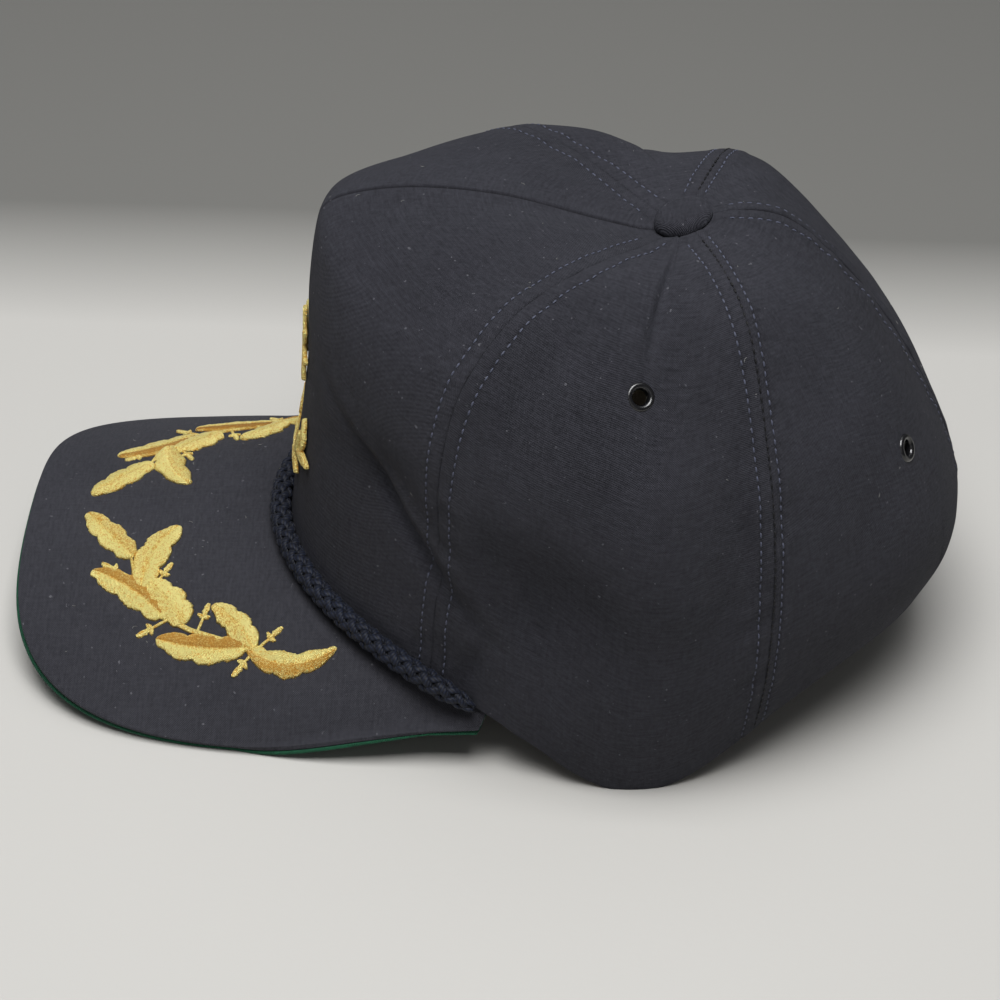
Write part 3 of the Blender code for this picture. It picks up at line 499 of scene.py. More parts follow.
@dataclass(frozen=True)
class GoldThread:
    """Metallic embroidery thread in satin stitch rows, with painted pale glints and painted brown
    shade.
    """

    name: str = "gold_thread"
    pale: tuple[float, float, float] = (1.0, 0.87, 0.31)
    warm: tuple[float, float, float] = (0.86, 0.47, 0.055)
    brown: tuple[float, float, float] = (0.34, 0.13, 0.018)
    pitch: float = 0.00048
    slant: float = 0.7
    relief: float = 0.00040

    def material(self) -> bpy.types.Material:
        """The material. The tone of painted shade runs from 0 on a lit half to 1 on a shaded one."""
        finish = Finish(self.name)
        stitch = finish.node("ShaderNodeUVMap", {"uv_map": "cloth"})
        axes = finish.node("ShaderNodeSeparateXYZ", {}, {0: stitch})
        along = Socket(finish.tree, axes.output.node.outputs[1])
        rows = ((along + abs(axes) * self.slant) * (2.0 * math.pi / self.pitch)).sine() * 0.5 + 0.5
        place = finish.node("ShaderNodeTexCoord", {}, {}, "Object")
        glints = finish.noise(place, 2100.0, 2.0, 0.7)
        patches = finish.noise(place, 420.0, 2.0)
        tone = finish.tone()
        # painted highlights: where the glint noise is high the colour turns pale
        bright = (rows * 0.16 + glints * 1.7 + patches * 0.5 - tone * 0.45).above(0.86, 0.26)
        base = finish.mix(bright, self.warm, self.pale)
        # painted shade: the tone and the gaps between glints turn the colour brown
        painted_shade_mask = (tone * 0.60 + (1.0 - glints) * 0.75 - rows * 0.1).above(0.36, 0.7)
        colour = finish.mix(painted_shade_mask, base, self.brown)
        finish.fixed({"Metallic": 0.35, "Specular IOR Level": 0.6})
        rough = (1.0 - bright) * 0.22 + 0.34
        return finish.close(colour, rough, rows * 0.4 + glints * 1.5, self.relief)


@dataclass(frozen=True)
class Smooth:
    """Lacquer or moulded plastic with a faint grain."""

    name: str
    colour: tuple[float, float, float]
    roughness: float
    metallic: float = 0.0
    coat: float = 0.0
    depth: float = 0.00002

    def material(self) -> bpy.types.Material:
        """The material, with scuffs that change its roughness."""
        finish = Finish(self.name)
        place = finish.node("ShaderNodeTexCoord", {}, {}, "Object")
        cloud = finish.noise(place, 120.0, 3.0)
        grain = finish.noise(place, 1400.0, 2.0)
        colour = finish.mix(cloud, tuple(0.7 * part for part in self.colour), self.colour)
        finish.fixed({"Metallic": self.metallic, "Coat Weight": self.coat, "Coat Roughness": 0.15})
        rough = cloud * 0.16 + (self.roughness - 0.08)
        return finish.close(colour, rough, grain, self.depth)


@dataclass(frozen=True)
class Ground:
    """The pale floor, which grows darker far behind the hat."""

    name: str = "pale_floor"
    near: tuple[float, float, float] = (0.52, 0.51, 0.486)
    far: tuple[float, float, float] = (0.170, 0.168, 0.158)
    begins: float = -0.140
    fade: float = 0.08

    def material(self) -> bpy.types.Material:
        """The material on Object coordinates."""
        finish = Finish(self.name)
        place = finish.node("ShaderNodeTexCoord", {}, {}, "Object")
        axes = finish.node("ShaderNodeSeparateXYZ", {}, {0: place})
        cloud = finish.noise(place, 3.0, 2.0)
        grain = finish.noise(place, 400.0, 2.0)
        share = (self.begins + (cloud - 0.5) * 0.02 - axes).above(0.0, self.fade)
        colour = finish.mix(share, self.near, self.far)
        return finish.close(colour, 0.6, grain, 0.00003)


@dataclass
class Piece:
    """One object of the hat, gathered from surfaces and put into a mesh at the end."""

    name: str
    finish: bpy.types.Material
    slot: str = ""
    stands_for: tuple[str, ...] = ()
    points: list[Array] = field(default_factory=list)
    faces: list[Array] = field(default_factory=list)
    maps: list[Array] = field(default_factory=list)
    tones: list[Array] = field(default_factory=list)

    def add(self, grid: Array, cloth: Array | None = None, tone: Array | float = 0.0,
            ring: bool = False, loop: bool = False) -> None:
        """Add a grid of points, or many grids of the same shape.

        Args:
            grid: Points in rows and columns, with any number of leading axes before them.
            cloth: The map's two values for each point, in metres.
            tone: The tone of each point, which is painted shade.
            ring: Whether the last column joins the first.
            loop: Whether the last row joins the first.
        """
        rows, columns = grid.shape[-3:-1]
        many = int(np.prod(grid.shape[:-3]))
        index = np.arange(rows * columns).reshape(rows, columns)
        if ring:
            index = np.concatenate([index, index[:, :1]], axis=1)
        if loop:
            index = np.concatenate([index, index[:1]], axis=0)
        quads = np.stack([index[:-1, :-1], index[:-1, 1:], index[1:, 1:], index[1:, :-1]], axis=-1)
        starts = np.arange(many) * rows * columns
        quads = quads.reshape(1, -1, 4) + starts[:, None, None]
        self.put(grid.reshape(-1, 3), quads.reshape(-1, 4), cloth, tone)

    def put(self, points: Array, quads: Array, cloth: Array | None, tone: Array | float) -> None:
        """Add points and the faces between them.

        Args:
            points: One row for each point.
            quads: Four point numbers for each face.
            cloth: The map's two values for each point.
            tone: The painted shade of each point, or one for all.
        """
        before = sum(len(known) for known in self.points)
        count = len(points)
        self.points.append(points)
        self.faces.append(quads + before)
        self.maps.append(np.zeros((count, 2)) if cloth is None else cloth.reshape(-1, 2))
        self.tones.append(np.broadcast_to(np.ravel(tone), (count,)))

    def shell(self, outer: Array, inner: Array, cloth: Array, tone: Array,
              keep: Array | None = None) -> None:
        """Add a closed wall between two grids, with a rim wherever cells are left out.

        Args:
            outer: The grid on the outside.
            inner: The grid on the inside.
            cloth: The map of either grid.
            tone: The painted shade of either grid.
            keep: Which cells of the grid are there.
        """
        rows, columns = outer.shape[:2]
        keep = np.ones((rows - 1, columns - 1), bool) if keep is None else keep
        index = np.arange(rows * columns).reshape(rows, columns)
        cells = np.stack([index[:-1, :-1], index[:-1, 1:], index[1:, 1:], index[1:, :-1]], axis=-1)
        top = cells[keep]
        bottom = top[:, ::-1] + rows * columns
        padded = np.pad(keep, 1)
        lying = padded[:-1, 1:-1] != padded[1:, 1:-1]
        standing = padded[1:-1, :-1] != padded[1:-1, 1:]
        rims = []
        for edge, first, second in ((lying, index[:, :-1], index[:, 1:]),
                                    (standing, index[:-1], index[1:])):
            near, far = first[edge], second[edge]
            rims.append(np.stack([near, far, far + rows * columns, near + rows * columns], axis=-1))
        points = np.concatenate([outer.reshape(-1, 3), inner.reshape(-1, 3)])
        quads = np.concatenate([top, bottom, *rims])
        self.put(points, quads, np.concatenate([cloth.reshape(-1, 2)] * 2),
                 np.concatenate([tone.ravel()] * 2))

    def build(self) -> Object:
        """Make the mesh, close its poles, turn its faces outwards and put it on its body."""
        points = np.concatenate(self.points)
        quads = np.concatenate(self.faces)
        mesh = bpy.data.meshes.new(self.name)
        mesh.vertices.add(len(points))
        mesh.vertices.foreach_set("co", points.astype(np.float32).ravel())
        mesh.loops.add(quads.size)
        mesh.loops.foreach_set("vertex_index", quads.astype(np.int32).ravel())
        mesh.polygons.add(len(quads))
        mesh.polygons.foreach_set("loop_start", np.arange(0, quads.size, 4, dtype=np.int32))
        mesh.update(calc_edges=True)
        layer = mesh.uv_layers.new(name="cloth")
        corners = np.concatenate(self.maps)[quads.ravel()]
        layer.data.foreach_set("uv", corners.astype(np.float32).ravel())
        tone = mesh.attributes.new("tone", "FLOAT", "POINT")
        tone.data.foreach_set("value", np.concatenate(self.tones).astype(np.float32))
        work = bmesh.new()
        work.from_mesh(mesh)
        bmesh.ops.remove_doubles(work, verts=work.verts, dist=1e-6)
        loose = [vert for vert in work.verts if not vert.link_faces]
        bmesh.ops.delete(work, geom=loose, context="VERTS")
        bmesh.ops.recalc_face_normals(work, faces=work.faces)
        work.to_mesh(mesh)
        work.free()
        mesh.shade_smooth()
        mesh.materials.append(self.finish)
        made = bpy.data.objects.new(self.name, mesh)
        bpy.context.scene.collection.objects.link(made)
        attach(made, "root")
        if self.stands_for:
            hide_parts(*self.stands_for)
        log.info("%s: %d faces", self.name, len(mesh.polygons))
        return made


def tubes(paths: Array, upright: Array, wide: Array, high: Array, sides: int) -> tuple[Array, Array]:
    """Tubes of elliptic section carried along paths.

    Around each path point the section is cos(a) times the half width sideways plus sin(a) times the
    half height along the upright.

    Args:
        paths: Points of one path or of many, as (..., steps, 3).
        upright: The direction that the section's height takes at each point.
        wide: Half width at each step.
        high: Half height at each step.
        sides: Points round a section.

    Returns:
        The grids as (..., steps, sides, 3), and their maps in metres.
    """
    ahead = unit(np.gradient(paths, axis=-2))
    aside = unit(np.cross(ahead, upright))
    above = unit(np.cross(aside, ahead))
    angle = np.linspace(0.0, 2.0 * math.pi, sides, endpoint=False)
    wide = np.broadcast_to(wide, paths.shape[:-1])[..., None, None]
    high = np.broadcast_to(high, paths.shape[:-1])[..., None, None]
    ring = aside[..., None, :] * np.cos(angle)[:, None] * wide
    ring = ring + above[..., None, :] * np.sin(angle)[:, None] * high
    length = np.linalg.norm(np.diff(paths, axis=-2), axis=-1)
    length = np.concatenate([np.zeros((*length.shape[:-1], 1)), np.cumsum(length, axis=-1)], axis=-1)
    grid = paths[..., None, :] + ring
    around = np.broadcast_to(angle, grid.shape[:-1]) * 0.0008
    along = np.broadcast_to(length[..., None], grid.shape[:-1])
    return grid, np.stack([around, along], axis=-1)


@dataclass(frozen=True)
class Seam:
    """A seam of the crown, the stitched rows beside it, its lift and the painted shade in its groove
    and rows.
    """

    turn: float
    rows: tuple[float, ...] = (-0.0042, 0.0042)
    lowest: float = 0.0
    highest: float = 0.935
    groove: float = 0.00010
    pad: float = 0.00034
    pucker: float = 0.00055
    # painted shade in the seam's groove
    dark: float = 0.16
    holes: bool = False


SEAMS = (
    Seam(50.0), Seam(-50.0), Seam(107.0, rows=(-0.0036, 0.0022), holes=True),
    Seam(-107.0, rows=(0.0036, -0.0022), holes=True), Seam(180.0, lowest=0.22),
    # the front crease, with a strong painted shade line in its groove
    Seam(0.0, rows=(), lowest=0.50, groove=0.0011, pad=0.0, pucker=0.0, dark=0.85),
)


@dataclass
class Crown:
    """The crown's outer surface, from its sections, dents and seams."""

    half_length: float = 0.102
    half_width: float = 0.091
    height: float = 0.147
    setback: float = 0.0156
    cloth: float = 0.0016
    dart_rise: float = 0.0012
    dart_spread: float = 7.0
    dart_foot: float = 0.48
    dart_head: float = 0.94
    dart_fade: float = 0.1
    arch_half_turn: float = 26.0
    arch_rise: float = 0.22
    visor_reach: float = 0.0815
    seam_half_pad: float = 0.0050
    groove_spread: float = 0.0006
    # spread of the painted shade in a seam's groove
    dark_spread: float = 0.0005
    row_spread: float = 0.00055
    row_depth: float = 0.00030
    # painted shade in each stitched row's dip
    row_dark: float = 0.28
    pucker_spread: float = 0.0042
    broad_crease: float = 0.00042
    fine_crease: float = 0.00016

    def __post_init__(self) -> None:
        """Find how far the hat stands from its own axes in the frame."""
        self.front = self.setback - self.half_length * SECTIONS[0][1][0]
        self.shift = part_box("visor_lining")[0][1] - (self.front - self.visor_reach)
        self.turns = np.array([row[0] for row in SECTIONS])
        self.radii = np.array([row[1] for row in SECTIONS])
        self.heights = np.array([row[2] for row in SECTIONS])

    def smooth(self, turns: Array, levels: Array) -> Array:
        """Points before dents and seams.

        The sections' radii and heights are blended by a spline over the turn and one over the
        level. A place is the button's axis plus that radius along the turn, and the dart adds a
        ridge that fades with the turn.

        Args:
            turns: Turns in degrees.
            levels: Levels from 0 to 1.

        Returns:
            The points, in the hat's own axes.
        """
        turns, levels = np.broadcast_arrays(np.asarray(turns, float), np.asarray(levels, float))
        folded = np.abs(wrapped(turns))
        by_turn = spline_rows(self.turns, folded, True)
        by_level = spline_rows(LEVELS, levels, False)
        radii = np.sum((by_turn @ self.radii) * by_level, axis=1).reshape(turns.shape)
        heights = np.sum((by_turn @ self.heights) * by_level, axis=1).reshape(turns.shape)
        dart = self.dart_rise * np.exp(-folded / self.dart_spread)
        dart = dart * np.clip((levels - self.dart_foot) / self.dart_fade, 0.0, 1.0)
        dart = dart * np.clip((self.dart_head - levels) / self.dart_fade, 0.0, 1.0)
        angle = np.radians(turns)
        across = self.half_width * radii * np.sin(angle)
        along = self.setback - self.half_length * radii * np.cos(angle)
        return np.stack([across, along, self.height * heights + dart], axis=-1)

    def surface(self, turns: Array, levels: Array) -> tuple[Array, Array]:
        """Points and outward normals with the dents, which are bells pressed in along the normal.

        Args:
            turns: Turns in degrees.
            levels: Levels from 0 to 1.

        Returns:
            The points in the hat's own axes, and the normals.
        """
        turns, levels = np.broadcast_arrays(np.asarray(turns, float), np.asarray(levels, float))
        reach, lift = 0.4, 0.004
        low = np.clip(levels, 0.0, 1.0 - lift)
        sideways = self.smooth(turns + reach, low) - self.smooth(turns - reach, low)
        upwards = self.smooth(turns, low + lift) - self.smooth(turns, low)
        normals = unit(np.cross(sideways, upwards))
        normals[..., 2] *= np.clip(levels / 0.05, 0.0, 1.0)
        normals = unit(normals)
        signed = wrapped(turns)
        depth = np.zeros(turns.shape)
        for turn, level, turn_spread, level_spread, lean, share in DENTS:
            aside = (signed - turn - lean * (levels - level)) / turn_spread
            above = (levels - level) / level_spread
            depth += share * self.half_width * np.exp(-aside**2 - above**2)
        points = self.smooth(turns, levels) - normals * depth[..., None]
        points[..., 2] = np.maximum(points[..., 2], 0.0)
        return points, normals

    def radius(self, turns: Array, levels: Array) -> Array:
        """Distance from the button's axis."""
        points = self.smooth(turns, levels)
        return np.hypot(points[..., 0], points[..., 1] - self.setback)

    def climb(self, turn: float) -> tuple[Array, Array]:
        """Levels, and the length of the crown's line up to each of them at one turn."""
        levels = np.linspace(0.0, 1.0, 201)
        return levels, run_along(self.smooth(np.full(201, turn), levels))

    def arch(self, turns: Array) -> Array:
        """The level of the lower edge: an ellipse over the opening at the back."""
        inside = (180.0 - np.abs(turns)) / self.arch_half_turn
        return self.arch_rise * np.sqrt(np.clip(1.0 - inside**2, 0.0, 1.0))

    def seam_relief(self, turns: Array, levels: Array) -> tuple[Array, Array]:
        """How the seams lift the cloth, and the painted shade that darkens their grooves and stitched
        rows.

        At a distance d from a seam the cloth falls by a bell as wide as a thread, stands up by a
        plateau over the turned-in edge, dips by a bell at each stitched row, and puckers by noise
        along the seam that fades with d.

        Args:
            turns: Turns in degrees.
            levels: Levels from 0 to 1.

        Returns:
            The lift along the normal and the tone, which is painted shade.
        """
        radius = self.radius(turns, levels)
        lift = np.zeros(turns.shape)
        tone = np.zeros(turns.shape)
        for number, seam in enumerate(SEAMS):
            table = self.climb(seam.turn)
            along = np.interp(levels, *table)
            aside = radius * np.radians(wrapped(turns - seam.turn))
            near = np.abs(aside)
            there = eased(levels, seam.lowest - 0.02, seam.lowest + 0.01)
            there = there * (1.0 - eased(levels, 0.93, 0.985))
            lift -= there * seam.groove * np.exp(-(near / self.groove_spread)**2)
            # painted shade in the seam's groove
            tone += there * seam.dark * np.exp(-(near / self.dark_spread)**2)
            beyond = eased(near, 0.8 * self.seam_half_pad, 1.25 * self.seam_half_pad)
            lift += there * seam.pad * (1.0 - beyond)
            for row in seam.rows:
                beside = np.exp(-((aside - row) / self.row_spread)**2)
                lift -= there * self.row_depth * beside
                # painted shade in the stitched row's dip
                tone += there * self.row_dark * beside
            wave = ripple(along / 0.0052, np.sign(aside) * 3.0 + 0.5, number + 1.0)
            wave = wave + 0.6 * ripple(along / 0.0105, np.sign(aside) * 3.0 + 0.5, number + 9.0)
            lift += there * seam.pucker * wave * np.exp(-(near / self.pucker_spread - 1.0)**2)
        return lift, np.clip(tone, 0.0, 1.0)

    def creases(self, turns: Array, levels: Array) -> Array:
        """Soft hand creases over all the cloth, as two layers of lattice noise."""
        broad = ripple(turns / 19.0, levels * 6.0, 3.0)
        fine = ripple(turns / 7.0 + levels * 3.0, levels * 17.0, 5.0)
        both = self.broad_crease * broad + self.fine_crease * fine
        return both * (1.0 - eased(levels, 0.86, 0.97))

    def skin(self, turns: Array, levels: Array) -> tuple[Array, Array, Array]:
        """The finished cloth surface.

        Args:
            turns: Turns in degrees.
            levels: Levels from 0 to 1.

        Returns:
            The points in the frame, the normals and the tone of painted shade.
        """
        points, normals = self.surface(turns, levels)
        lift, tone = self.seam_relief(turns, levels)
        lift = lift + self.creases(turns, levels) * eased(levels, 0.0, 0.05)
        points = points + normals * lift[..., None]
        return points + np.array([0.0, self.shift, 0.0]), normals, tone


@dataclass
class CrownPanels:
    """The five cloth panels, each one closed shell with a turned hem."""

    crown: Crown
    finish: bpy.types.Material
    rows: int = 150
    pitch: float = 0.00085
    gap: float = 0.00004
    edge: float = 0.00030
    hem_edge: float = 0.0008
    seam_drop: float = 0.10
    crowding: float = 0.78
    eyelet_hole: float = 0.0031

    def panel(self, name: str, start: float, end: float, dart: bool = False) -> Object:
        """One panel.

        Args:
            name: The node that it stands for.
            start: The seam at its lower turn.
            end: The seam at its higher turn.
            dart: Whether a seam also runs up its middle.

        Returns:
            The panel's object.
        """
        crown = self.crown
        count = int(math.radians(end - start) * 0.095 / self.pitch)
        share = np.linspace(0.0, 1.0, count)
        waves = 2.0 if dart else 1.0
        turns_of_share = 2.0 * math.pi * waves
        share = share - self.crowding * np.sin(turns_of_share * share) / turns_of_share
        hem = np.array([0.0, 0.0010, 0.0025, 0.0045, 0.0075, 0.0115])
        rows = np.concatenate([hem, np.linspace(0.017, 1.0, self.rows)])[:, None]
        plain = start + (end - start) * share[None, :]
        lower = crown.arch(plain)
        levels = lower + (1.0 - lower) * rows
        radius = crown.radius(np.full(len(rows), start), rows[:, 0])
        trim = np.degrees(self.gap / 2.0 / radius)[:, None]
        turns = plain + trim * (1.0 - 2.0 * share[None, :])
        points, normals, tone = crown.skin(turns, levels)
        spread = crown.radius(turns, levels)
        beside = spread * np.radians(np.minimum(turns - start, end - turns)) - self.gap / 2.0
        below = 0.17 * (levels - lower)
        at_seam = np.clip(beside / self.edge, 0.0, 1.0)
        from_edge = np.clip(below / self.hem_edge, 0.0, 1.0)
        swell = np.sqrt(1.0 - (1.0 - from_edge)**2) * crown.cloth / 2.0
        swell = swell * (1.0 - self.seam_drop * (1.0 - at_seam))
        middle = points - normals * crown.cloth / 2.0
        outer = middle + normals * swell[..., None]
        inner = middle - normals * swell[..., None]
        outer[..., 2] = np.maximum(outer[..., 2], 0.0)
        inner[..., 2] = np.maximum(inner[..., 2], 0.0)
        table = crown.climb((start + end) / 2.0)
        cloth = np.stack([spread * np.radians(turns - (start + end) / 2.0), np.interp(levels, *table)],
                         axis=-1)
        piece = Piece(name + "_cloth", self.finish, "crown_cloth", (name,))
        piece.shell(outer, inner, cloth, tone, self.without_eyelets(points))
        return piece.build()

    def without_eyelets(self, points: Array) -> Array:
        """Which cells stay where the eyelets go through."""
        middle = (points[:-1, :-1] + points[1:, 1:]) / 2.0
        keep = np.ones(middle.shape[:2], bool)
        for eyelet in EYELETS:
            place = self.crown.surface(np.array([eyelet[1]]), np.array([eyelet[2]]))[0][0]
            place = place + np.array([0.0, self.crown.shift, 0.0])
            keep &= np.linalg.norm(middle - place, axis=-1) > self.eyelet_hole
        return keep

    def build(self) -> None:
        """Build all five."""
        self.panel("front_panel", -50.0, 50.0, dart=True)
        self.panel("side_panel_left", 50.0, 107.0)
        self.panel("side_panel_right", -107.0, -50.0)
        self.panel("back_panel_left", 107.0, 180.0)
        self.panel("back_panel_right", -180.0, -107.0)


EYELETS = (
    ("eyelet_side_left", 80.0, 0.635), ("eyelet_side_right", -80.0, 0.635),
    ("eyelet_back_left", 147.0, 0.43), ("eyelet_back_right", -147.0, 0.43),
)


@dataclass
class Stitching:
    """The sewn rows beside the seams, and in some seams near-black sunk thread as painted needle-hole
    shade.
    """

    crown: Crown
    finish: bpy.types.Material
    shadow: bpy.types.Material
    pitch: float = 0.0027
    length: float = 0.0020
    thickness: float = 0.00029
    rise: float = 0.00020
    sink: float = 0.00006
    jitter: float = 0.0002

    def row(self, seam: Seam, aside: float) -> tuple[Array, Array]:
        """Stitches of one row.

        A stitch starts at every pitch along the row. Its height over the cloth is a half sine, so
        it sinks in at both ends.

        Args:
            seam: The seam.
            aside: The row's distance from it.

        Returns:
            The stitches' grids and maps.
        """
        levels = np.linspace(seam.lowest + 0.006, seam.highest, 400)
        turns = seam.turn + np.degrees(aside / self.crown.radius(np.full(400, seam.turn), levels))
        path, normals, _ = self.crown.skin(turns, levels)
        run = run_along(path)
        starts = np.arange(0.001, run[-1] - self.length, self.pitch)
        jitter = ripple(starts / 0.003, 0.5, seam.turn + 100.0 * aside)
        steps = np.linspace(0.0, 1.0, 5)
        place = starts[:, None] + jitter[:, None] * self.jitter + steps * self.length
        line = np.stack([np.interp(place, run, path[:, axis]) for axis in range(3)], axis=-1)
        upright = np.stack([np.interp(place, run, normals[:, axis]) for axis in range(3)], axis=-1)
        rise = np.sin(math.pi * steps)
        line = line + upright * (self.rise * rise - self.sink)[:, None]
        width = self.thickness * np.sqrt(np.clip(1.0 - (2.0 * steps - 1.0)**4, 0.0, 1.0))
        return tubes(line, upright, width, 0.8 * width, 6)

    def build(self) -> None:
        """Build every row as one piece, and the near-black thread of painted needle-hole shade as
        another.
        """
        piece = Piece("seam_stitches", self.finish, "crown_cloth")
        for seam in SEAMS:
            for aside in seam.rows:
                grid, cloth = self.row(seam, aside)
                piece.add(grid, cloth, ring=True)
        piece.build()
        # near-black thread along the seam, painted shade for the needle holes
        holes = Piece("needle_holes", self.shadow, "crown_cloth")
        for seam in SEAMS:
            if seam.holes:
                grid, cloth = self.row(seam, 0.0)
                holes.add(grid, cloth, ring=True)
        holes.build()


@dataclass
class SeamTapes:
    """The tapes that cover the seams inside the crown."""

    crown: Crown
    finish: bpy.types.Material
    width: float = 0.0115
    thickness: float = 0.0005
    depth: float = 0.0019

    def build(self) -> None:
        """Build one tape on the inside of each seam."""
        piece = Piece("seam_tapes", self.finish, "crown_cloth")
        for seam in SEAMS:
            if not seam.rows:
                continue
            levels = np.linspace(max(0.185, seam.lowest + 0.02), 0.93, 110)[:, None]
            radius = self.crown.radius(np.full(110, seam.turn), levels[:, 0])[:, None]
            aside = np.linspace(-0.5, 0.5, 12)[None, :] * self.width
            turns = seam.turn + np.degrees(aside / radius)
            points, normals = self.crown.surface(turns, np.broadcast_to(levels, turns.shape))
            points = points + np.array([0.0, self.crown.shift, 0.0])
            rounded = self.thickness * (0.35 + 0.65 * np.sqrt(1.0 - (2.0 * aside / self.width)**4))
            outer = points - normals * self.depth
            inner = outer - normals * rounded[..., None]
            cloth = np.stack(np.broadcast_arrays(aside, levels * 0.18), axis=-1)
            piece.shell(outer, inner, cloth, np.zeros(turns.shape))
        piece.build()


@dataclass
class TopButton:
    """The covered button: a low dome of cloth gathered under its edge."""

    crown: Crown
    finish: bpy.types.Material
    diameter: float = 0.0172
    height: float = 0.0040
    tilt: float = 19.0

    def build(self) -> None:
        """Turn the dome's profile round its axis, with shallow gathers at its foot."""
        ahead = self.crown.surface(np.array([0.0]), np.array([0.955]))[0][0]
        behind = self.crown.surface(np.array([180.0]), np.array([0.955]))[0][0]
        tilt = math.radians(self.tilt)
        axis = np.array([0.0, -math.sin(tilt), math.cos(tilt)])
        base = np.array([0.0, self.crown.setback + self.crown.shift, (ahead[2] + behind[2]) / 2.0])
        base = base + axis * 0.0006
        sideways = np.array([1.0, 0.0, 0.0])
        forwards = np.cross(axis, sideways)
        climb = np.linspace(0.0, 1.0, 26)
        lean = climb * math.pi / 2.0
        reach = np.cos(lean)**0.40
        rise = np.sin(lean)**1.0
        reach = np.concatenate([[0.0, 0.55, 0.86, 0.96], reach])
        rise = np.concatenate([[-0.30, -0.28, -0.22, -0.10], rise])
        angle = np.linspace(0.0, 2.0 * math.pi, 72, endpoint=False)
        gather = 1.0 + 0.012 * np.sin(9.0 * angle + 1.0) * np.exp(-(rise[:, None] / 0.35)**2)
        radial = reach[:, None] * gather * self.diameter / 2.0
        spokes = np.cos(angle)[:, None] * sideways + np.sin(angle)[:, None] * forwards
        grid = base + radial[..., None] * spokes + (rise * self.height)[:, None, None] * axis
        cloth = np.stack([radial * np.cos(angle), radial * np.sin(angle)], axis=-1)
        # painted shade at the gathered foot under the button's dome
        tone = np.broadcast_to(0.5 * (1.0 - eased(rise, -0.1, 0.25))[:, None], radial.shape)
        piece = Piece("top_button_cloth", self.finish, "crown_cloth", ("top_button",))
        piece.add(grid, cloth, tone, ring=True)
        piece.build()


@dataclass
class EyeletRings:
    """The black lacquered eyelets, pressed through the cloth from both sides."""

    crown: Crown
    finish: bpy.types.Material
    flange: float = 0.0043
    bore: float = 0.0022
    plate: float = 0.0008

    def build(self) -> None:
        """Turn a rounded profile round the normal of the cloth at each eyelet."""
        around = np.linspace(0.0, 2.0 * math.pi, 20, endpoint=False)
        middle, half = (self.flange + self.bore) / 2.0, (self.flange - self.bore) / 2.0
        for name, turn, level in EYELETS:
            points, normals = self.crown.surface(np.array([turn]), np.array([level]))
            axis = normals[0]
            centre = points[0] + np.array([0.0, self.crown.shift, 0.0]) - axis * self.crown.cloth / 2.0
            aside = unit(np.cross(axis, np.array([0.0, 0.0, 1.0])))
            above = np.cross(aside, axis)
            reach = middle + half * np.cos(around)
            depth = (self.crown.cloth / 2.0 + self.plate) * np.sign(np.sin(around))
            depth = depth * np.abs(np.sin(around))**0.75
            angle = np.linspace(0.0, 2.0 * math.pi, 56, endpoint=False)
            rim = np.cos(angle)[:, None] * aside + np.sin(angle)[:, None] * above
            grid = centre + rim[:, None, :] * reach[None, :, None] + axis * depth[None, :, None]
            piece = Piece(name + "_ring", self.finish, "eyelet_metal", (name,))
            piece.add(grid, ring=True, loop=True)
            piece.build()


